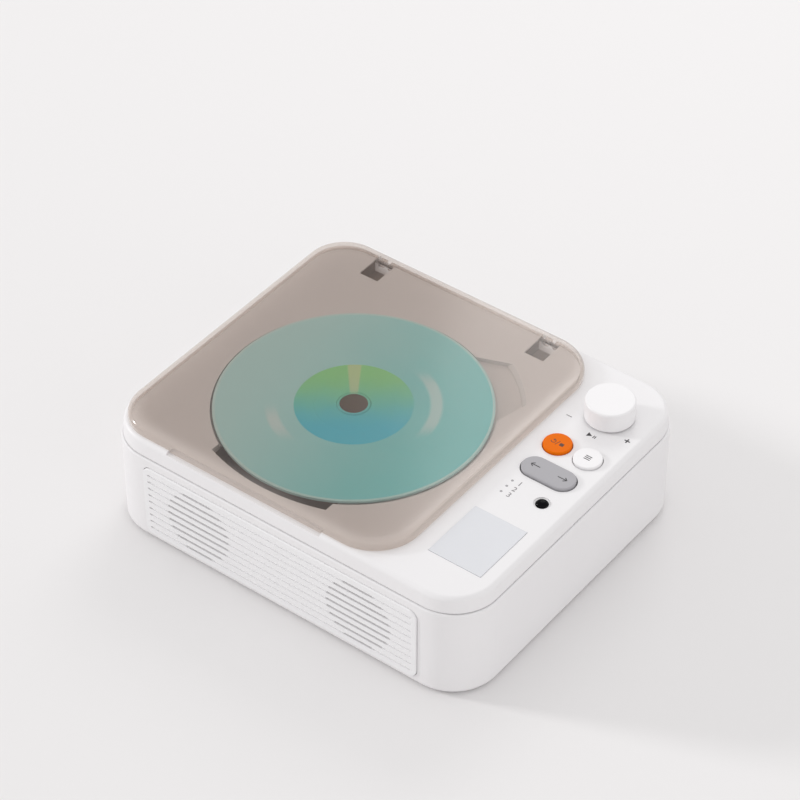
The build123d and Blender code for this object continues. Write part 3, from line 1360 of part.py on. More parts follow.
with BuildPart() as tact_switches:
    with BuildSketch(Plane.XY.offset(cboard_top)):
        with Locations(*switch_places):
            Rectangle(switch_w, switch_w)
    extrude(amount=switch_h)
    with BuildSketch(Plane.XY.offset(cboard_top + switch_h)):
        with Locations(*switch_places):
            Circle(plunger_r)
    extrude(amount=plunger_h)
save(tact_switches.part, "tact_switches")

ir_flange_z = deck_under - ir_clear
with BuildPart() as ir_window:
    with BuildSketch(Plane((ir_x, ir_y, 0), x_dir=(1, 0, 0), z_dir=(0, -1, 0))):
        with BuildLine():
            dome = ThreePointArc(
                (0, deck_z + ir_dome_up), (ir_r * 0.72, deck_z + 0.56 * ir_dome_up),
                (ir_r, deck_z - ir_recess_depth),
            )
            Polyline(
                dome @ 1, (ir_r, ir_flange_z), (ir_r + ir_flange, ir_flange_z),
                (ir_r + ir_flange, ir_flange_z - ir_flange), (0, ir_flange_z - ir_flange), dome @ 0,
            )
        make_face()
    revolve(axis=Axis((ir_x, ir_y, 0), (0, 0, 1)))
save(ir_window.part, "ir_window")

with BuildPart() as ir_receiver:
    with BuildSketch(Plane.XY.offset(cboard_top)):
        with Locations((ir_x, ir_y)):
            Rectangle(receiver_x, receiver_y)
    extrude(amount=receiver_h)
    with BuildSketch(Plane.XY.offset(cboard_top + receiver_h)):
        with Locations((ir_x, ir_y)):
            Circle(receiver_lens_r)
    extrude(amount=receiver_lens_h)
save(ir_receiver.part, "ir_receiver")

with BuildPart() as light_pipes:
    with BuildSketch(Plane.XY.offset(cboard_top + pipe_up)):
        with Locations(*[(led_x, y) for y in led_y]):
            Circle(led_r)
    extrude(amount=deck_z - cboard_top - pipe_up)
    with BuildSketch(Plane.XY.offset(cboard_top + pipe_up)):
        with Locations(*[(led_x, y) for y in led_y]):
            Circle(led_r + led_flange)
    extrude(amount=deck_under - cboard_top - pipe_up - hole_slack)
save(light_pipes.part, "light_pipes")

with BuildPart() as status_leds:
    with BuildSketch(Plane.XY.offset(cboard_top)):
        with Locations(*[(led_x, y) for y in led_y]):
            Rectangle(led_w, led_d)
    extrude(amount=led_h)
save(status_leds.part, "status_leds")

with BuildPart() as trim_plate:
    with BuildSketch(Plane.XY.offset(deck_z - plate_recess)):
        with Locations((strip_x, plate_y)):
            RectangleRounded(plate_w, plate_h, plate_corner)
    extrude(amount=plate_t)
save(trim_plate.part, "trim_plate")

with BuildPart() as board_screws:
    for places, head, shank, up in (
        (cboard_screws, cboard_top - board_t - screw_pan_t, cboard_top - board_t, board_t + small_screw_l),
        (mboard_screws, mboard_top, mboard_top - board_t - small_screw_l, board_t + small_screw_l),
    ):
        with BuildSketch(Plane.XY.offset(head)):
            with Locations(*places):
                Circle(screw_pan_r)
        extrude(amount=screw_pan_t)
        with BuildSketch(Plane.XY.offset(shank)):
            with Locations(*places):
                Circle(chassis_screw_r)
        extrude(amount=up)
save(board_screws.part, "board_screws")

# ---------------------------------------------------------------- main board, sockets and battery
with BuildPart() as main_board:
    with BuildSketch(Plane.XY.offset(mboard_top - board_t)):
        with Locations((mboard_cx, mboard_cy)):
            Rectangle(mboard_x, mboard_y)
        with Locations(*mboard_screws):
            Circle(chassis_screw_r + screw_slack, mode=Mode.SUBTRACT)
    extrude(amount=board_t)
    with BuildSketch(Plane.XY.offset(mboard_top)):
        with Locations((mboard_cx - chip_left, mboard_cy - chip_ahead)):
            Rectangle(chip_w, chip_w)
        with Locations((mboard_cx + driver_right, mboard_cy - driver_ahead)):
            Rectangle(driver_w, driver_d)
    extrude(amount=chip_h)
    with BuildSketch(Plane.XY.offset(mboard_top)):
        with Locations(
            (mboard_cx - can_left, mboard_cy - can_ahead), (mboard_cx + can_right, mboard_cy - chip_ahead)
        ):
            Circle(can_r)
    extrude(amount=can_h)
save(main_board.part, "main_board")

with BuildPart() as usb_socket:
    with BuildSketch(Plane.XZ.offset(-socket_y)):
        with Locations((usb_x, usb_z)):
            Rectangle(usb_w, usb_h)
            Rectangle(usb_w - 2 * shell_t, usb_h - 2 * shell_t, mode=Mode.SUBTRACT)
    extrude(amount=usb_l)
    with BuildSketch(Plane.XZ.offset(-socket_y + usb_l - shell_back)):
        with Locations((usb_x, usb_z)):
            Rectangle(usb_w - shell_t, usb_h - shell_t)
    extrude(amount=shell_back)
    with BuildSketch(Plane.XZ.offset(-socket_y + tongue_in)):
        with Locations((usb_x, usb_z + tongue_up)):
            Rectangle(usb_w - tongue_w, tongue_t)
    extrude(amount=usb_l - 1.5 * tongue_in)
    with BuildSketch(Plane.XY.offset(mboard_top)):
        with Locations((usb_x, socket_y - usb_l + usb_foot_d / 2 + shell_t)):
            Rectangle(usb_w, usb_foot_d)
    extrude(amount=shell_up)
save(usb_socket.part, "usb_socket")

with BuildPart() as charge_socket:
    with BuildSketch(Plane.XZ.offset(-socket_y)):
        with Locations((charge_x, charge_z)):
            SlotOverall(charge_w, charge_h)
            SlotOverall(charge_w - 1.5 * shell_t, charge_h - 1.5 * shell_t, mode=Mode.SUBTRACT)
    extrude(amount=charge_l)
    with BuildSketch(Plane.XZ.offset(-socket_y + charge_l - charge_back)):
        with Locations((charge_x, charge_z)):
            SlotOverall(charge_w - shell_t, charge_h - shell_t)
    extrude(amount=charge_back)
    with BuildSketch(Plane.XZ.offset(-socket_y + charge_tongue_in)):
        with Locations((charge_x, charge_z)):
            Rectangle(charge_w - charge_tongue_w, charge_tongue_t)
    extrude(amount=charge_l - 1.5 * charge_tongue_in)
    with BuildSketch(Plane.XY.offset(mboard_top)):
        with Locations((charge_x, socket_y - charge_l + charge_foot_d / 2)):
            Rectangle(charge_w - charge_tongue_w / 2, charge_foot_d)
    extrude(amount=charge_foot_h)
save(charge_socket.part, "charge_socket")

with BuildPart() as audio_jack:
    with BuildSketch(Plane.XY.offset(mboard_top)):
        with Locations((jack_x, back_y - wall - mboard_gap - jack_bore_l / 2)):
            Rectangle(jack_body, jack_bore_l)
    extrude(amount=2 * (jack_r + jack_wall))
    with BuildSketch(Plane.XZ.offset(-socket_y)):
        with Locations((jack_x, jack_z)):
            Circle(jack_r)
    extrude(amount=wall + mboard_gap)
    with BuildSketch(Plane.XZ.offset(-socket_y)):
        with Locations((jack_x, jack_z)):
            Circle(jack_bore_r)
    extrude(amount=jack_bore_l, mode=Mode.SUBTRACT)
save(audio_jack.part, "audio_jack")

with BuildPart() as battery_pack:
    with BuildSketch(Plane.YZ.offset(-cell_l / 2 - sleeve_t)):
        with Locations((battery_y, floor_z + cell_r + sleeve_t)):
            SlotOverall(4 * cell_r + 2 * sleeve_t, 2 * (cell_r + sleeve_t))
    extrude(amount=cell_l + 2 * sleeve_t)
    chamfer(battery_pack.edges().group_by(Axis.X)[0], wrap_edge)
    chamfer(battery_pack.edges().group_by(Axis.X)[-1], wrap_edge)
save(battery_pack.part, "battery_pack")

# ---------------------------------------------------------------- feet and fasteners
with BuildPart() as feet:
    with BuildSketch(Plane.XY):
        with Locations(*foot_places):
            Circle(foot_r - foot_clear)
    extrude(amount=foot_proud + foot_sink)
    chamfer(feet.edges().group_by(Axis.Z)[0], foot_edge)
save(feet.part, "rubber_feet")

with BuildPart() as case_screws:
    with BuildSketch(Plane.XY.offset(head_z - screw_head_t)):
        with Locations(*post_places):
            Circle(screw_head_r)
    extrude(amount=screw_head_t)
    with BuildSketch(Plane.XY.offset(head_z)):
        with Locations(*post_places):
            Circle(case_screw_r)
    extrude(amount=case_screw_l)
save(case_screws.part, "case_screws")

with BuildPart() as speaker_screws:
    with BuildSketch(Plane.XZ.offset(-speaker_seat_y - flange_t)):
        with Locations(*speaker_screw_places):
            Circle(speaker_screw_head_r)
    extrude(amount=-speaker_screw_head_t)
    with BuildSketch(Plane.XZ.offset(-speaker_seat_y + speaker_screw_bite)):
        with Locations(*speaker_screw_places):
            Circle(speaker_screw_r)
    extrude(amount=-speaker_screw_bite - flange_t)
save(speaker_screws.part, "speaker_screws")
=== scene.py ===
"""Looks for a compact disc player with a smoked lid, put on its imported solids.

The file is laid out as an add-on and run as a script. Sizes are in metres in the frame's own
axes, and a number that is multiplied by MM is in millimetres. Finishes count in millimetres.
"""
from functools import partial
from math import cos, pi, radians, sin

import bpy
from bpy.props import FloatProperty, FloatVectorProperty, PointerProperty
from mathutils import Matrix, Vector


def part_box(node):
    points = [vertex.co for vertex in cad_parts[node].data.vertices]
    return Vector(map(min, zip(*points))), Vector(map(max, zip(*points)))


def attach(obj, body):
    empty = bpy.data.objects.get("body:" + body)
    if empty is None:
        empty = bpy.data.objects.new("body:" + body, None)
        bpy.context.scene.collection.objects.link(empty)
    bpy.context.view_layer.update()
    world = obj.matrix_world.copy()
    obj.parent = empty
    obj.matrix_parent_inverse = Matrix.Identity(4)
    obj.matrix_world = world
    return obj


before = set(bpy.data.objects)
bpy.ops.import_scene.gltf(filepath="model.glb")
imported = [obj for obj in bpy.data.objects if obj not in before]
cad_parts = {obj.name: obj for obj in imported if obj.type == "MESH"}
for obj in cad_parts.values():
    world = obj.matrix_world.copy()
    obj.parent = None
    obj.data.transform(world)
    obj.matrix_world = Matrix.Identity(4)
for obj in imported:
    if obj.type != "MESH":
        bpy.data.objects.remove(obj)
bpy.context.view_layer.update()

bl_info = {
    "name": "Disc player looks",
    "version": (1, 0, 0),
    "blender": (4, 5, 0),
    "location": "View3D > Sidebar > Disc player",
    "description": "Finishes, printed marks, speaker cloth and studio for a compact disc player",
    "category": "Object",
}

MM = 0.001
# The disc's print, its painted reflection and its painted highlights all follow this turn.
VIEW_TURN = radians(37.2)  # the camera's turn about Z, which the disc's print follows
LID_CORNER = 20.0  # radius of the lid's corners seen from above, in millimetres
GRILLE_THICKNESS = 2.0 * MM
CAP_HEIGHT = 0.68  # of a numeral, as a share of its type size
SIDES = ("left", "right")


def middle(node):
    """The centre of a solid's box."""
    low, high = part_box(node)
    return (low + high) / 2


def linear(colour):
    """A colour as it is seen on a screen, as the four numbers that a shader takes."""
    return tuple(
        part / 12.92 if part <= 0.04045 else ((part + 0.055) / 1.055) ** 2.4 for part in colour
    ) + (1.0,)


def hue(red, green, blue):
    """A colour written as three numbers up to 255."""
    return tuple(part / 255 for part in (red, green, blue))


def colour_setting(name, description, *shade):
    """A colour that a user may change, written as three numbers up to 255."""
    return FloatVectorProperty(
        name=name, description=description, subtype="COLOR_GAMMA", size=3, min=0, max=1,
        default=hue(*shade),
    )


def length_setting(name, description, millimetres):
    """A length that a user may change, written in millimetres."""
    return FloatProperty(
        name=name, description=description, subtype="DISTANCE", unit="LENGTH", min=0,
        default=millimetres * MM,
    )


class PlayerColours(bpy.types.PropertyGroup):
    """The colours that change the player's look most."""

    shell: colour_setting("Shell", "Housing and cover", 234, 232, 233)
    # Painted shade: the pockets' colour stands for the shade in the pockets under the lid.
    pocket_shade: colour_setting("Pockets", "Deep pockets under the lid", 124, 106, 92)
    grille: colour_setting("Grille", "Slatted speaker panel", 236, 235, 236)
    # Painted shade: the slot walls are coloured darker than the grille for the shade inside the
    # slots.
    slots: colour_setting("Slots", "Walls of the speaker slots", 228, 226, 227)
    knob: colour_setting("Knob", "Volume knob and mode button", 238, 236, 237)
    power: colour_setting("Power button", "Power button", 232, 110, 0)
    rocker: colour_setting("Rocker", "Track rocker", 166, 164, 168)
    smoke: colour_setting("Lid tint", "What one wall of the lid lets through", 247, 243, 240)
    smoke_body: colour_setting("Lid body", "The lid's own colour", 78, 64, 57)
    # Painted highlight: the edge colour stands for light caught along the lid's rounded edge.
    smoke_edge_highlight: colour_setting("Lid edge", "The lid's own colour along its edge", 230, 223, 218)
    # The pale side is teal print with a painted reflection over it.
    disc_left_print_and_sheen: colour_setting("Disc, left", "Disc print on its pale side", 196, 242, 243)
    disc_right: colour_setting("Disc, right", "Disc print on its deep side", 102, 222, 225)
    label_top: colour_setting("Label, top", "Disc label above", 150, 236, 154)
    label_foot: colour_setting("Label, foot", "Disc label below", 70, 214, 242)
    hub: colour_setting("Hub cap", "Cap in the disc's hole", 80, 65, 50)
    plate: colour_setting("Plate", "Bare plate on the control strip", 212, 213, 217)
    ink: colour_setting("Ink", "Printed marks", 62, 60, 62)
    pale_ink: colour_setting("Pale ink", "Thin printed marks and numerals", 118, 114, 116)
    cloth: colour_setting("Cloth", "Speaker cloth behind the slots", 222, 220, 221)


class PlayerSizes(bpy.types.PropertyGroup):
    """The sizes of what is printed or fitted on the solids."""

    ink_rise: length_setting("Ink", "Thickness of the printed marks", 0.03)
    sign: length_setting("Sign", "Length of the plus and minus signs", 2.8)
    minus_line: length_setting("Minus line", "Width of the minus sign", 0.42)
    plus_line: length_setting("Plus line", "Width of the plus sign's lines", 0.62)
    play: length_setting("Play mark", "Radius of the play mark", 1.5)
    power_ring: length_setting("Power ring", "Radius of the power mark", 1.0)
    power_line: length_setting("Power line", "Width of the lines of the power mark", 0.32)
    stop: length_setting("Stop mark", "Height of the stop mark", 1.8)
    mode_bar: length_setting("Mode bar", "Length of each bar on the mode button", 3.1)
    mode_line: length_setting("Mode line", "Width of each bar on the mode button", 0.44)
    arrow: length_setting("Arrow", "Length of the rocker's arrows", 4.6)
    arrow_line: length_setting("Arrow line", "Width of the arrows' lines", 0.46)
    numeral: length_setting("Numeral", "Height of the numerals by the lights", 2.6)
    cloth_thickness: length_setting("Cloth", "Thickness of the speaker cloth", 0.3)
    cloth_radius: length_setting("Cloth radius", "Radius of each piece of speaker cloth", 17.2)


class StudioSettings(bpy.types.PropertyGroup):
    """Floor, lamps and camera."""

    sky: FloatProperty(name="Sky", description="Even light from all round", default=0.815, min=0)
    key: FloatProperty(name="Key", description="Low light from the left", default=0.33, min=0)
    key_turn: FloatVectorProperty(
        name="Key turn", description="How the key light is turned", subtype="EULER",
        unit="ROTATION", default=(radians(70), 0.0, radians(-68)),
    )
    back: FloatProperty(
        name="Back", description="Softbox behind", unit="POWER", default=3.7, min=0
    )
    fill: FloatProperty(
        name="Fill", description="Soft light on the right", unit="POWER", default=3.0, min=0
    )
    floor: colour_setting("Floor", "Table top", 238, 236, 236)
    lens: FloatProperty(
        name="Lens", description="Focal length", unit="CAMERA", default=135.0, min=1
    )
    camera_place: FloatVectorProperty(
        name="Camera", description="Where the camera stands", subtype="TRANSLATION",
        unit="LENGTH", default=(0.5742, -0.7534, 0.8983),
    )
    camera_turn: FloatVectorProperty(
        name="Camera turn", description="How the camera is turned", subtype="EULER",
        unit="ROTATION", default=(radians(48.5), 0.0, VIEW_TURN),
    )


# ------------------------------------------------------------------ shader maths
class Value:
    """A number or colour on its way through a finish. Python sums on it add Math nodes."""

    def __init__(self, finish, socket):
        self.finish, self.socket = finish, socket

    def maths(self, operation, *terms):
        return self.finish.value("Math", {"operation": operation}, dict(enumerate(terms)))

    def __add__(self, other):
        return self.maths("ADD", self, other)

    __radd__ = __add__

    def __sub__(self, other):
        return self.maths("SUBTRACT", self, other)

    def __rsub__(self, other):
        return self.maths("SUBTRACT", other, self)

    def __mul__(self, other):
        return self.maths("MULTIPLY", self, other)

    __rmul__ = __mul__

    def __pow__(self, other):
        return self.maths("POWER", self, other)

    def __abs__(self):
        return self.maths("ABSOLUTE", self)

    def sine(self):
        return self.maths("SINE", self)

    def least(self, other):
        return self.maths("MINIMUM", self, other)

    def most(self, other):
        return self.maths("MAXIMUM", self, other)

    def ease(self, start, end):
        """0 before start, 1 past end, and a soft step between. end may be the lower one."""
        if start > end:
            return 1 - self.ease(end, start)
        return self.finish.value(
            "MapRange", {"interpolation_type": "SMOOTHSTEP"}, {0: self, 1: start, 2: end}
        )

    def past(self, limit, edge):
        """1 past a limit, with a soft edge that reaches that far to either side."""
        return self.ease(limit - edge, limit + edge)

    def short(self, limit, edge):
        """1 short of a limit, with a soft edge that reaches that far to either side."""
        return self.ease(limit + edge, limit - edge)

    def band(self, start, end, edge):
        """1 between start and end, with soft edges."""
        return self.past(start, edge) * self.short(end, edge)


class Finish:
    """One material, or the sky, being made."""

    def __init__(self, name, shelf=bpy.data.materials):
        self.made = shelf.new(name)
        self.made.use_nodes = True
        self.tree = self.made.node_tree
        self.tree.nodes.clear()

    def add(self, kind, settings=(), inputs=()):
        """A node of that kind: its settings first, then what fills or feeds its sockets."""
        node = self.tree.nodes.new("ShaderNode" + kind)
        for key, value in dict(settings).items():
            setattr(node, key, value)
        for key, value in dict(inputs).items():
            if isinstance(value, Value):
                self.tree.links.new(value.socket, node.inputs[key])
            else:
                node.inputs[key].default_value = value
        return node

    def value(self, kind, settings=(), inputs=(), out=0):
        """One output of a new node."""
        return Value(self, self.add(kind, settings, inputs).outputs[out])

    def place(self, centre=(0, 0, 0), unit=(1, 1, 1), turn=0.0):
        """Object coordinates counted from a centre, in millimetre units, turned about Z."""
        return self.value(
            "Mapping", {"vector_type": "TEXTURE"},
            {"Vector": self.value("TexCoord", out="Object"), "Location": centre,
             "Rotation": (0, 0, turn), "Scale": [part * MM for part in unit]},
        )

    def parts(self, vector):
        """The three numbers of a vector."""
        node = self.add("SeparateXYZ", inputs={0: vector})
        return [Value(self, out) for out in node.outputs]

    def noise(self, size, detail=2.0, stretch=(1, 1, 1)):
        """Soft random values about 0.5, with features of that size in millimetres."""
        where = self.place(unit=[size * part for part in stretch])
        return self.value("TexNoise", inputs={"Vector": where, "Scale": 1.0, "Detail": detail})

    def blend(self, share, first, second):
        """first at a share of 0, second at 1. Both are colours, which that node has as 6 and 7."""
        return self.value("Mix", {"data_type": "RGBA"}, {0: share, 6: first, 7: second}, out=2)

    def mixed(self, share, first, second):
        """The first shader at a share of 0, the second at 1."""
        return self.value("MixShader", inputs={0: share, 1: first, 2: second})

    def relief(self, height, depth):
        """A bump of that depth in millimetres."""
        return self.value(
            "Bump", inputs={"Strength": 1.0, "Distance": depth * MM, "Height": height}
        )

    def shader(self, colour, roughness, normal=None, **sockets):
        """The surface itself. Any other socket goes by its name, with _ for each space."""
        inputs = {"Base Color": colour, "Roughness": roughness}
        if normal is not None:
            inputs["Normal"] = normal
        inputs.update({key.replace("_", " "): value for key, value in sockets.items()})
        return self.value("BsdfPrincipled", inputs=inputs)

    def surface(self, colour, roughness, height, depth, **sockets):
        """Ends the finish as one surface whose relief is that deep in millimetres."""
        return self.close(self.shader(colour, roughness, self.relief(height, depth), **sockets))

    def close(self, shader, end="OutputMaterial"):
        """Ends the finish with that shader and gives back what was made."""
        self.add(end, inputs={"Surface": shader})
        return self.made


def shaded(colour, share):
    """A colour made darker or lighter by a share."""
    return tuple(min(1.0, part * share) for part in colour[:3]) + (1.0,)


def span(a, b):
    """How far a place lies from the centre that a and b are counted from."""
    return (a * a + b * b) ** 0.5


# ------------------------------------------------------------------ finishes
def moulded(name, colour, roughness=0.42, cloud=0.02, tones=None, **sockets):
    """Moulded plastic: a spark-eroded grain, and faint flow clouds in colour and gloss. What
    tones gives for the finish, as shares and colours, is laid over the plain colour."""
    finish = Finish(name)
    clouds, pits = finish.noise(38, detail=3), finish.noise(0.16, detail=3)
    paint = finish.blend(clouds, shaded(colour, 1 - cloud), shaded(colour, 1 + cloud))
    for share, tone in tones(finish) if tones else ():
        paint = finish.blend(share, paint, tone)
    gloss = clouds * 0.08 + pits * 0.06 + (roughness - 0.07)
    return finish.surface(paint, gloss, pits, 0.015, **sockets)


def pocket_shade_tones(look, finish):
    """Painted shade: the shell's pockets under the lid are painted dark, and its well a little, for
    the shade that falls in them under the lid.
    """
    centre = middle("disc")
    centre.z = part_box("top_cover")[1].z
    front, back = ((corner - centre).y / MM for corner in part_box("lid"))
    x, y, z = finish.parts(finish.place(centre=centre))
    under_lid = span(x, y).short(72.0, 0.5) * y.past(front + 3.3, 0.3)
    hinges = y.band(back - 20, back - 4.5, 0.5) * abs(x).short(58.0, 0.5)
    # Painted shade: lightly in the well, fully in the deep pockets and hinge pockets.
    well = under_lid * z.short(-1.45, 0.45)
    pockets = (under_lid * z.short(-3.4, 0.4)).most(hinges * z.short(-0.6, 0.3))
    return [((well * 0.2 + pockets).least(1), linear(look.pocket_shade))]


def slot_light_and_shade(look, finish):
    """Painted light and shade in the grille: its grooves are painted a little paler inside as
    painted light, and its speaker slots and the grooves' blind left ends are painted darker as
    painted shade.
    """
    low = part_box("front_grille")[0] / MM
    x, y, z = finish.parts(finish.place())
    inside = y.past(low.y + 0.26, 0.14)
    slots = x.short(low.x + 3.7, 0.2)
    for side in SIDES:
        centre = middle(f"speaker_frame_{side}") / MM
        slots = slots.most(span(x - centre.x, z - centre.z).short(16.85, 0.15))
    # Painted light inside the grooves, then painted shade over the slots and the blind ends.
    return [(inside, shaded(linear(look.grille), 1.12)), (inside * slots, linear(look.slots))]


def turned_metal(name, colour, roughness=0.3, stretch=(1, 1, 12)):
    """Metal with the fine lines of its drawing or turning."""
    finish = Finish(name)
    lines = finish.noise(0.12, detail=4, stretch=stretch)
    stain = finish.noise(9, detail=3)
    paint = finish.blend(stain, shaded(colour, 0.9), shaded(colour, 1.06))
    return finish.surface(paint, lines * 0.18 + (roughness - 0.09), lines, 0.006, Metallic=1.0)


def rubber(name, colour):
    """Dull rubber with a fine bloom."""
    finish = Finish(name)
    bloom, pits = finish.noise(6, detail=4), finish.noise(0.25, detail=3)
    paint = finish.blend(bloom * 0.7, colour, shaded(colour, 1.5))
    return finish.surface(paint, bloom * 0.2 + 0.6, pits, 0.03)


def paper_cone(name, colour):
    """Pressed paper pulp of a loudspeaker cone."""
    finish = Finish(name)
    fibres = finish.noise(0.9, detail=6, stretch=(1, 0.3, 1))
    pulp = finish.noise(0.35, detail=4)
    paint = finish.blend(fibres, colour, shaded(colour, 2.2))
    return finish.surface(paint, fibres * 0.2 + 0.65, pulp, 0.06)


def ferrite(name, colour):
    """Sintered magnet: dark, with bright specks."""
    finish = Finish(name)
    specks = finish.noise(0.3, detail=2).ease(0.62, 0.72)
    paint = finish.blend(specks, colour, shaded(colour, 2.4))
    return finish.surface(paint, 0.55 - specks * 0.2, finish.noise(0.5), 0.02)


def circuit_board(name, colour):
    """Solder mask over copper tracks that run at right angles."""
    finish = Finish(name)
    across, along, _ = finish.parts(finish.place(unit=(1.9, 1.9, 1.9)))
    lanes, rows = (abs((part * pi).sine()).ease(0.94, 0.98) for part in (across, along))
    region = finish.noise(7, detail=1).ease(0.5, 0.52)
    tracks = lanes * region + rows * (1 - region)
    paint = finish.blend(tracks, colour, shaded(colour, 1.9))
    return finish.surface(paint, 0.36 - tracks * 0.08, tracks, 0.03, Coat_Weight=0.4)


def cell_wrap(name, colour):
    """Shrunk film round the battery cells."""
    finish = Finish(name)
    creases = finish.noise(3.5, detail=3, stretch=(6, 1, 1))
    # Painted shade and highlight: the film is painted darker in the creases' hollows and paler on
    # their ridges.
    paint = finish.blend(creases, shaded(colour, 0.8), shaded(colour, 1.25))
    return finish.surface(paint, creases * 0.15 + 0.18, creases, 0.15, Coat_Weight=0.5)


def brushed_plate(name, colour):
    """Thin bare plate, brushed across the strip under a satin lacquer."""
    finish = Finish(name)
    lines = finish.noise(0.07, detail=4, stretch=(40, 1, 1))
    sheen = finish.noise(22, detail=2)
    paint = finish.blend(lines * 0.6 + sheen * 0.4, shaded(colour, 0.95), shaded(colour, 1.05))
    return finish.surface(
        paint, lines * 0.14 + 0.3, lines, 0.004, Metallic=0.1, Coat_Weight=0.1
    )


def smoked_lid(name, look):
    """Clear smoked plastic: a warm tint looking through, its own brown painted paler along the edge
    as a painted highlight.
    """
    finish = Finish(name)
    tilt = finish.value("LayerWeight", inputs={"Blend": 0.5}, out="Facing")
    smears = finish.noise(24, detail=4)
    half = (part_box("lid")[1] - middle("lid")) / MM
    x, y, _ = finish.parts(finish.place(centre=middle("lid")))
    past_x = (abs(x) - (half.x - LID_CORNER)).most(0)
    past_y = (abs(y) - (half.y - LID_CORNER)).most(0)
    # Painted highlight along the lid's rounded edge: a paler colour there, and a little less
    # see-through.
    rim_highlight = (past_x * past_x + past_y * past_y).ease((LID_CORNER - 9) ** 2, LID_CORNER ** 2)
    own = finish.shader(
        finish.blend(rim_highlight, linear(look.smoke_body), linear(look.smoke_edge_highlight)),
        smears * 0.06 + 0.1, IOR=2.4, Specular_IOR_Level=0.8, Coat_Weight=0.5, Coat_Roughness=0.1,
    )
    through = finish.value("BsdfTransparent", inputs={"Color": linear(look.smoke)})
    return finish.close(finish.mixed(tilt ** 3 * 0.9 + rim_highlight * 0.06 + 0.11, through, own))


def print_place(finish):
    """Places across and up the disc's print, counted from its centre."""
    return finish.parts(finish.place(centre=middle("disc"), turn=VIEW_TURN))[:2]


def label_wash_and_highlight(finish, across, up, look):
    """Green to blue across the disc's label, with a painted highlight streak that narrows to the
    hub.
    """
    wash = finish.blend(
        (up + finish.noise(9) * 6).ease(-14, 25), linear(look.label_foot), linear(look.label_top)
    )
    # Painted highlight: a pale streak of light up the label.
    highlight_streak = (up * 0.07 + 1.8 - abs(across)).ease(0, 1.2) * up.ease(4, 10)
    return finish.blend(highlight_streak * 0.55, wash, linear(hue(236, 232, 190)))


def lit_boss(name, look):
    """The turntable's clear boss, which takes up the colours of the label round it, its painted
    highlight streak too.
    """
    finish = Finish(name)
    paint = label_wash_and_highlight(finish, *print_place(finish), look)
    frost = finish.noise(0.6)
    return finish.surface(paint, frost * 0.1 + 0.35, frost, 0.01)


def printed_disc(name, look):
    """A printed disc: a wash of teal, painted paler to the left as a painted reflection, two
    painted highlight arcs, a moulded ring and a two-colour label.
    """
    finish = Finish(name)
    across, up = print_place(finish)
    radius = span(across, up)
    # The teal print, painted paler towards the left as a painted reflection.
    wash = (across - up * 0.55 + finish.noise(16, detail=3) * 14).ease(-58, 82)
    # Painted highlight: two pale arcs of light glinting on the disc.
    highlight_arcs = radius.band(32.6, 37.6, 1.1) * (
        across.ease(0, 1) * up.band(-17, 17, 6) + across.ease(0, -1) * up.band(-19, -4, 6)
    )
    label = radius.short(25.5, 0.12)
    paint = finish.blend(wash, linear(look.disc_left_print_and_sheen), linear(look.disc_right))
    for share, tone in (
        (highlight_arcs * 0.45, linear(hue(250, 252, 252))),
        (label, label_wash_and_highlight(finish, across, up, look)),
        (radius.past(58.9, 0.2) * 0.55, linear(hue(226, 246, 244))),
    ):
        paint = finish.blend(share, paint, tone)
    rings = radius.band(17.0, 17.4, 0.12) + radius.band(22.2, 22.5, 0.1) * 0.5
    grooves = (radius * 19.0).sine() * 0.005
    gloss = 0.42 - label * 0.04 + finish.noise(12, detail=3) * 0.06
    height = grooves + label * 0.25 - rings
    return finish.surface(paint, gloss, height, 0.05, Metallic=0.2, Specular_IOR_Level=0.3)


def glossy_dark(name, colour, roughness=0.05, coat=1.0):
    """Near black infrared plastic or a coated lens: deep gloss with faint moulding waves."""
    finish = Finish(name)
    waves = finish.noise(2.4, detail=2)
    paint = finish.blend(waves, colour, shaded(colour, 1.6))
    return finish.surface(
        paint, waves * 0.04 + roughness, waves, 0.01,
        Coat_Weight=coat, Specular_IOR_Level=0.06 + coat * 0.44,
    )


def light_guide(name, colour):
    """Clear plastic light guide with a frosted end."""
    finish = Finish(name)
    frost = finish.noise(0.2, detail=3)
    paint = finish.blend(frost, shaded(colour, 0.8), shaded(colour, 1.15))
    return finish.surface(paint, frost * 0.2 + 0.2, frost, 0.02, Coat_Weight=0.5)


def woven_cloth(name, colour):
    """Fine plain weave, its threads over and under each other."""
    finish = Finish(name)
    x, _, z = finish.parts(finish.place(unit=(0.42, 0.42, 0.42)))
    warp, weft = (x * 2 * pi).sine(), (z * 2 * pi).sine()
    weave = warp * weft * 0.5 + 0.5
    lint = finish.noise(0.8, detail=4)
    # Painted shade: the weave is painted darker where its threads dip under, with random lint tone
    # mixed in.
    paint = finish.blend(weave * 0.7 + lint * 0.3, shaded(colour, 0.82), shaded(colour, 1.06))
    return finish.surface(paint, lint * 0.1 + 0.8, weave, 0.08, Sheen_Weight=0.2)


def printed_ink(name, colour):
    """Pad-printed ink, slightly uneven."""
    finish = Finish(name)
    cover = finish.noise(0.5, detail=4)
    paint = finish.blend(cover, shaded(colour, 0.85), shaded(colour, 1.25))
    return finish.surface(paint, cover * 0.15 + 0.38, cover, 0.004)


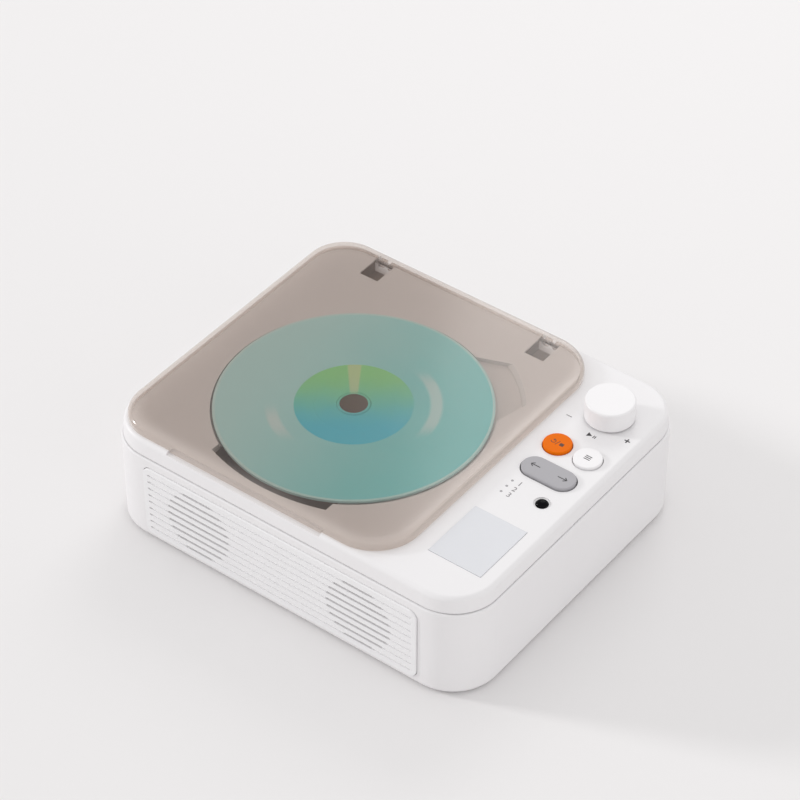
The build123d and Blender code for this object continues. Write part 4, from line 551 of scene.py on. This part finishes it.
def slot_finishes(look):
    """The finish of each of the record's material slots."""
    return {
        # The shell plastic carries the pockets' painted shade.
        "shell_white": moulded("shell plastic", linear(look.shell),
                               tones=partial(pocket_shade_tones, look)),
        # The grille plastic carries painted light in its grooves and painted shade in its slots.
        "grille_white": moulded("grille plastic", linear(look.grille), 0.46,
                                tones=partial(slot_light_and_shade, look)),
        "knob_white": moulded("knob plastic", linear(look.knob), 0.36, cloud=0.01),
        "button_orange": moulded("orange plastic", linear(look.power), 0.4, cloud=0.03,
                                 Specular_IOR_Level=0.08),
        "rocker_grey": moulded("rocker plastic", linear(look.rocker), 0.4),
        "lid_smoke": smoked_lid("smoked lid plastic", look),
        "disc_teal": printed_disc("printed disc", look),
        "hub_brown": moulded("hub plastic", linear(look.hub), 0.4),
        "platter_grey": lit_boss("platter plastic", look),
        "mechanism_black": moulded("black plastic", linear(hue(30, 30, 32)), 0.45, cloud=0.15),
        "gear_white": moulded("gear plastic", linear(hue(226, 222, 210)), 0.32),
        "steel": turned_metal("bright steel", linear(hue(200, 200, 202))),
        "motor_can": turned_metal("motor steel", linear(hue(176, 178, 181)), 0.36),
        "magnet_grey": ferrite("magnet ferrite", linear(hue(62, 62, 65))),
        "cone_black": paper_cone("cone paper", linear(hue(34, 34, 35))),
        "rubber_black": rubber("black rubber", linear(hue(26, 26, 27))),
        "foot_rubber": rubber("foot rubber", linear(hue(150, 150, 150))),
        "board_green": circuit_board("circuit board", linear(hue(22, 92, 58))),
        "battery_blue": cell_wrap("cell wrap", linear(hue(40, 92, 168))),
        "clear_plastic": light_guide("light guide", linear(hue(146, 144, 146))),
        "ir_dark": glossy_dark("infrared window", linear(hue(10, 9, 11)), 0.12, 0.0),
        "plate_silver": brushed_plate("bare plate", linear(look.plate)),
        "lens_glass": glossy_dark("coated lens", linear(hue(38, 52, 96)), 0.03),
    }


# ------------------------------------------------------------------ modelling helpers
def pick_none():
    """Leaves edit mode and deselects everything."""
    if bpy.context.object and bpy.context.object.mode != "OBJECT":
        bpy.ops.object.mode_set(mode="OBJECT")
    bpy.ops.object.select_all(action="DESELECT")


def pick(*pieces):
    """Selects these pieces alone, the first one active."""
    pick_none()
    for piece in pieces:
        piece.select_set(True)
    bpy.context.view_layer.objects.active = pieces[0]


def press(piece):
    """Lays a piece's place, turn and scale into its mesh."""
    pick(piece)
    bpy.ops.object.transform_apply(location=True, rotation=True, scale=True)
    return piece


def pick_edges(piece, wanted):
    """Selects the edges whose two ends pass the test, ready for edit mode."""
    bpy.ops.object.mode_set(mode="EDIT")
    bpy.ops.mesh.select_mode(type="EDGE")
    bpy.ops.mesh.select_all(action="DESELECT")
    bpy.ops.object.mode_set(mode="OBJECT")
    corners = piece.data.vertices
    for edge in piece.data.edges:
        edge.select = wanted(*(corners[i].co for i in edge.vertices))
    bpy.ops.object.mode_set(mode="EDIT")


def upright(a, b):
    """True for an edge that runs along Z."""
    return abs(a.x - b.x) + abs(a.y - b.y) < 1e-7


def mend(piece):
    """Merges a piece's doubled corners and turns its faces outwards."""
    pick(piece)
    bpy.ops.object.mode_set(mode="EDIT")
    bpy.ops.mesh.select_all(action="SELECT")
    bpy.ops.mesh.remove_doubles(threshold=1e-7)
    bpy.ops.mesh.normals_make_consistent(inside=False)
    bpy.ops.object.mode_set(mode="OBJECT")


def settle(piece, name, body, material):
    """Names a finished piece, gives it its finish and lets it ride on a body."""
    press(piece)
    piece.name = piece.data.name = name
    piece.data.materials.clear()
    piece.data.materials.append(material)
    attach(piece, body)
    return piece


def spots_on(node, top):
    """Gives a function that turns millimetres from a piece's centre into places at a height."""
    centre = middle(node)
    return lambda across, up: (centre.x + across * MM, centre.y + up * MM, top)


def lay(mark, spot, rise, turn):
    """Turns a mark that is centred on the origin and lays it on a spot."""
    mark.rotation_euler.z = turn
    mark.location = (spot[0], spot[1], spot[2] + rise / 2)
    return press(mark)


def round_corners(piece, offset, segments):
    """Rounds a flat piece's corners as seen from above."""
    pick_edges(piece, upright)
    bpy.ops.mesh.bevel(offset=offset, segments=segments, affect="EDGES")
    bpy.ops.object.mode_set(mode="OBJECT")


def stroke(spot, size, turn=0.0, corner=0.5):
    """A flat bar of ink. Its corners' radius is a share of its width, and never quite half."""
    pick_none()
    bpy.ops.mesh.primitive_cube_add(size=1)
    bar = bpy.context.object
    bar.dimensions = size
    press(bar)
    round_corners(bar, min(size[:2]) * corner * 0.98, 4)
    return lay(bar, spot, size[2], turn)


def wedge(spot, radius, rise):
    """A flat triangle of ink that points along +X."""
    pick_none()
    bpy.ops.mesh.primitive_cylinder_add(vertices=3, radius=radius, depth=rise)
    mark = bpy.context.object
    round_corners(mark, radius * 0.08, 3)
    return lay(mark, spot, rise, -pi / 2)


def open_ring(spot, radius, width, rise, gap):
    """A flat ring of ink with a gap at the side of +Y."""
    pick_none()
    bpy.ops.mesh.primitive_plane_add(size=1)
    ring = bpy.context.object
    ring.dimensions = (width, rise, 0)
    ring.rotation_euler = (pi / 2, 0, 0)
    ring.location = (radius, 0, 0)
    press(ring)
    bpy.ops.object.mode_set(mode="EDIT")
    bpy.ops.mesh.select_all(action="SELECT")
    bpy.ops.mesh.spin(steps=40, angle=2 * pi - gap, center=(0, 0, 0), axis=(0, 0, 1))
    mend(ring)
    return lay(ring, spot, rise, (pi + gap) / 2)


def fuse(pieces):
    """One closed piece out of several that overlap."""
    first, *rest = pieces
    for other in rest:
        pick(first)
        bpy.ops.object.modifier_add(type="BOOLEAN")
        union = first.modifiers[-1]
        union.operation, union.solver, union.object = "UNION", "EXACT", other
        bpy.ops.object.modifier_apply(modifier=union.name)
        bpy.data.objects.remove(other)
    return first


# ------------------------------------------------------------------ operators
class PLAYER_OT_finish_solids(bpy.types.Operator):
    """Gives every solid of the frame the finish of its material slot"""

    bl_idname = "player.finish_solids"
    bl_label = "Finish the solids"

    def execute(self, context):
        finishes = slot_finishes(context.scene.player_colours)
        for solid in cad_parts.values():
            slot = solid.data.materials[0].name
            solid.material_slots[0].material = finishes[slot]
        return {"FINISHED"}


class PLAYER_OT_speaker_cloth(bpy.types.Operator):
    """Stretches a disc of woven cloth behind each slotted circle of the grille"""

    bl_idname = "player.speaker_cloth"
    bl_label = "Speaker cloth"

    def execute(self, context):
        sizes = context.scene.player_sizes
        weave = woven_cloth("speaker cloth", linear(context.scene.player_colours.cloth))
        grille_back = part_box("front_grille")[0].y + GRILLE_THICKNESS
        for side in SIDES:
            centre = middle(f"speaker_frame_{side}")
            pick_none()
            bpy.ops.mesh.primitive_cylinder_add(
                vertices=96, radius=sizes.cloth_radius, depth=sizes.cloth_thickness,
                rotation=(pi / 2, 0, 0),
                location=(centre.x, grille_back + sizes.cloth_thickness / 2, centre.z),
            )
            cloth = press(bpy.context.object)
            bpy.ops.object.mode_set(mode="EDIT")
            bpy.ops.mesh.select_mode(type="FACE")
            bpy.ops.mesh.select_all(action="DESELECT")
            bpy.ops.object.mode_set(mode="OBJECT")
            for face in cloth.data.polygons:
                face.select = face.normal.y < -0.9
            bpy.ops.object.mode_set(mode="EDIT")
            bpy.ops.mesh.inset(thickness=1.2 * MM, depth=-0.05 * MM)
            bpy.ops.mesh.inset(thickness=6.0 * MM, depth=-0.04 * MM)
            bpy.ops.object.mode_set(mode="OBJECT")
            settle(cloth, f"speaker_cloth_{side}", "player", weave)
        return {"FINISHED"}


class PLAYER_OT_strip_marks(bpy.types.Operator):
    """Prints the volume signs and the play mark round the knob"""

    bl_idname = "player.strip_marks"
    bl_label = "Marks round the knob"

    def execute(self, context):
        look, sizes = context.scene.player_colours, context.scene.player_sizes
        dark = printed_ink("dark ink", linear(look.ink))
        pale = printed_ink("pale ink", linear(look.pale_ink))
        rise = sizes.ink_rise
        spot = spots_on("volume_knob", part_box("top_cover")[1].z)
        minus = stroke(spot(-14.0, -9.8), (sizes.sign, sizes.minus_line, rise))
        bold = (sizes.sign, sizes.plus_line, rise)
        plus = fuse([stroke(spot(14.4, -8.2), bold, turn) for turn in (0, pi / 2)])
        settle(minus, "minus_sign", "player", pale)
        settle(plus, "plus_sign", "player", dark)
        play = wedge(spot(-0.6, -14.5), sizes.play, rise)
        settle(play, "play_mark", "player", dark)
        for across, side in zip((1.7, 2.5), SIDES):
            bar = stroke(spot(across, -14.5), (0.4 * MM, 1.6 * MM, rise), corner=0.3)
            settle(bar, f"pause_bar_{side}", "player", dark)
        return {"FINISHED"}


class PLAYER_OT_button_marks(bpy.types.Operator):
    """Prints the power and stop marks on the power button and the list mark on the mode button"""

    bl_idname = "player.button_marks"
    bl_label = "Marks on the buttons"

    def execute(self, context):
        look, sizes = context.scene.player_colours, context.scene.player_sizes
        warm = printed_ink("button ink", linear(hue(84, 42, 12)))
        dark = printed_ink("mode ink", linear(look.ink))
        rise, line = sizes.ink_rise, sizes.power_line
        spot = spots_on("power_button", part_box("power_button")[1].z)
        ring = open_ring(spot(-2.1, 0.1), sizes.power_ring, line, rise, radians(70))
        tick = stroke(spot(-2.1, 0.95), (line, 1.2 * MM, rise), corner=0.3)
        slash = stroke(spot(0, 0), (0.28 * MM, 3.0 * MM, rise), radians(-18), 0.3)
        stop = stroke(spot(2.1, -0.1), (sizes.stop + 0.1 * MM, sizes.stop, rise), corner=0.12)
        settle(fuse([ring, tick]), "power_mark", "power_button", warm)
        settle(slash, "power_slash", "power_button", warm)
        settle(stop, "stop_mark", "power_button", warm)
        spot = spots_on("mode_button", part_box("mode_button")[1].z)
        for up, row in zip((-1.0, 0, 1.0), ("low", "mid", "high")):
            bar = stroke(spot(0, up), (sizes.mode_bar, sizes.mode_line, rise))
            settle(bar, f"mode_bar_{row}", "mode_button", dark)
        return {"FINISHED"}


class PLAYER_OT_rocker_arrows(bpy.types.Operator):
    """Prints an arrow outwards at each end of the track rocker"""

    bl_idname = "player.rocker_arrows"
    bl_label = "Arrows on the rocker"

    def execute(self, context):
        look, sizes = context.scene.player_colours, context.scene.player_sizes
        dark = printed_ink("arrow ink", linear(look.ink))
        line, rise, barb = sizes.arrow_line, sizes.ink_rise, 1.9 * MM
        spot = spots_on("skip_rocker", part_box("skip_rocker")[1].z)
        for way, side in zip((-1, 1), SIDES):
            x, y, top = spot(way * 6.7, 0.2)
            tip = x + way * sizes.arrow / 2
            lines = [stroke((x, y, top), (sizes.arrow, line, rise))]
            for angle in (radians(-38), radians(38)):
                back, out = cos(angle) * barb / 2, sin(angle) * barb / 2
                lines.append(stroke((tip - way * back, y + out, top), (barb, line, rise),
                                    -way * angle))
            settle(fuse(lines), f"arrow_{side}", "rocker", dark)
        return {"FINISHED"}


class PLAYER_OT_source_numerals(bpy.types.Operator):
    """Prints the numerals 1 to 3 beside the source lights"""

    bl_idname = "player.source_numerals"
    bl_label = "Numerals by the lights"

    def execute(self, context):
        look, sizes = context.scene.player_colours, context.scene.player_sizes
        pale = printed_ink("numeral ink", linear(look.pale_ink))
        low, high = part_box("light_pipes")
        first, last = high.y - 1.3 * MM, low.y + 1.3 * MM
        for count in range(3):
            pick_none()
            bpy.ops.object.text_add()
            text = bpy.context.object
            text.data.body = str(count + 1)
            text.data.size = sizes.numeral / CAP_HEIGHT
            text.data.align_x, text.data.align_y = "LEFT", "CENTER"
            text.data.extrude = sizes.ink_rise / 2
            pick(text)
            bpy.ops.object.convert(target="MESH")
            numeral = bpy.context.object
            mend(numeral)
            row = first + (last - first) * count / 2
            lay(numeral, (high.x + 1.6 * MM, row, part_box("top_cover")[1].z), sizes.ink_rise, 0)
            settle(numeral, f"numeral_{count + 1}", "player", pale)
        return {"FINISHED"}


class PLAYER_OT_studio(bpy.types.Operator):
    """Sets the floor, the lamps, the even sky and the camera"""

    bl_idname = "player.studio"
    bl_label = "Studio"

    def execute(self, context):
        studio = context.scene.player_studio
        pick_none()
        bpy.ops.mesh.primitive_plane_add(size=6)
        floor = bpy.context.object
        floor.name = "studio_floor"
        paint = Finish("studio floor")
        _, far, _ = paint.parts(paint.place(unit=(1000, 1000, 1000), turn=VIEW_TURN))
        tone = linear(studio.floor)
        # Painted light falloff: the floor is painted a little paler further from the camera.
        painted_falloff = paint.blend(far.ease(-0.3, 0.3), shaded(tone, 0.95), shaded(tone, 0.98))
        floor.data.materials.append(paint.close(paint.shader(painted_falloff, 0.9)))

        bpy.ops.object.light_add(type="SUN")
        key = bpy.context.object
        key.name = "studio_key"
        key.data.energy = studio.key * pi
        key.data.angle = radians(9)
        key.rotation_euler = studio.key_turn
        for name, energy, size, place, turn in (
            ("studio_back", studio.back, 0.8, (-0.38, 1.22, 1.10), (-49, 0, 17)),
            ("studio_fill", studio.fill, 1.4, (1.6, -0.3, 0.8), (64, 0, 79)),
        ):
            bpy.ops.object.light_add(type="AREA", location=place)
            lamp = bpy.context.object
            lamp.name = name
            lamp.data.energy, lamp.data.size = energy, size
            lamp.rotation_euler = [radians(part) for part in turn]

        sky = Finish("studio_sky", bpy.data.worlds)
        seen = sky.value("LightPath", out="Is Camera Ray")
        for ray in ("Is Glossy Ray", "Is Transmission Ray"):
            seen = seen.most(sky.value("LightPath", out=ray))
        lit, shown = (
            sky.value("Background", inputs={"Color": colour, "Strength": strength})
            for colour, strength in (((1, 1, 1, 1), studio.sky), (tone, 1.0))
        )
        context.scene.world = sky.close(sky.mixed(seen, lit, shown), "OutputWorld")

        bpy.ops.object.camera_add(location=studio.camera_place, rotation=studio.camera_turn)
        camera = bpy.context.object
        camera.name = "studio_camera"
        camera.data.lens = studio.lens
        camera.data.sensor_width = 36.0
        camera.data.clip_start = 0.05
        context.scene.camera = camera
        context.scene.view_settings.view_transform = "Standard"
        return {"FINISHED"}


MAKERS = (
    PLAYER_OT_finish_solids,
    PLAYER_OT_speaker_cloth,
    PLAYER_OT_strip_marks,
    PLAYER_OT_button_marks,
    PLAYER_OT_rocker_arrows,
    PLAYER_OT_source_numerals,
    PLAYER_OT_studio,
)


class PLAYER_PT_panel(bpy.types.Panel):
    """Lists the player's makers, colours and sizes"""

    bl_idname = "PLAYER_PT_panel"
    bl_label = "Disc player"
    bl_space_type = "VIEW_3D"
    bl_region_type = "UI"
    bl_category = "Disc player"

    def draw(self, context):
        for maker in MAKERS:
            self.layout.operator(maker.bl_idname)
        for place in GROUPS:
            group, box = getattr(context.scene, place), self.layout.box()
            for name in group.__annotations__:
                box.prop(group, name)


GROUPS = {
    "player_colours": PlayerColours,
    "player_sizes": PlayerSizes,
    "player_studio": StudioSettings,
}


def register():
    for name, group in GROUPS.items():
        bpy.utils.register_class(group)
        setattr(bpy.types.Scene, name, PointerProperty(type=group))
    for each in (*MAKERS, PLAYER_PT_panel):
        bpy.utils.register_class(each)


def unregister():
    for each in (PLAYER_PT_panel, *reversed(MAKERS)):
        bpy.utils.unregister_class(each)
    for name, group in GROUPS.items():
        delattr(bpy.types.Scene, name)
        bpy.utils.unregister_class(group)


def main():
    register()
    for maker in MAKERS:
        area, action = maker.bl_idname.split(".")
        getattr(getattr(bpy.ops, area), action)()


if __name__ == "__main__":
    main()
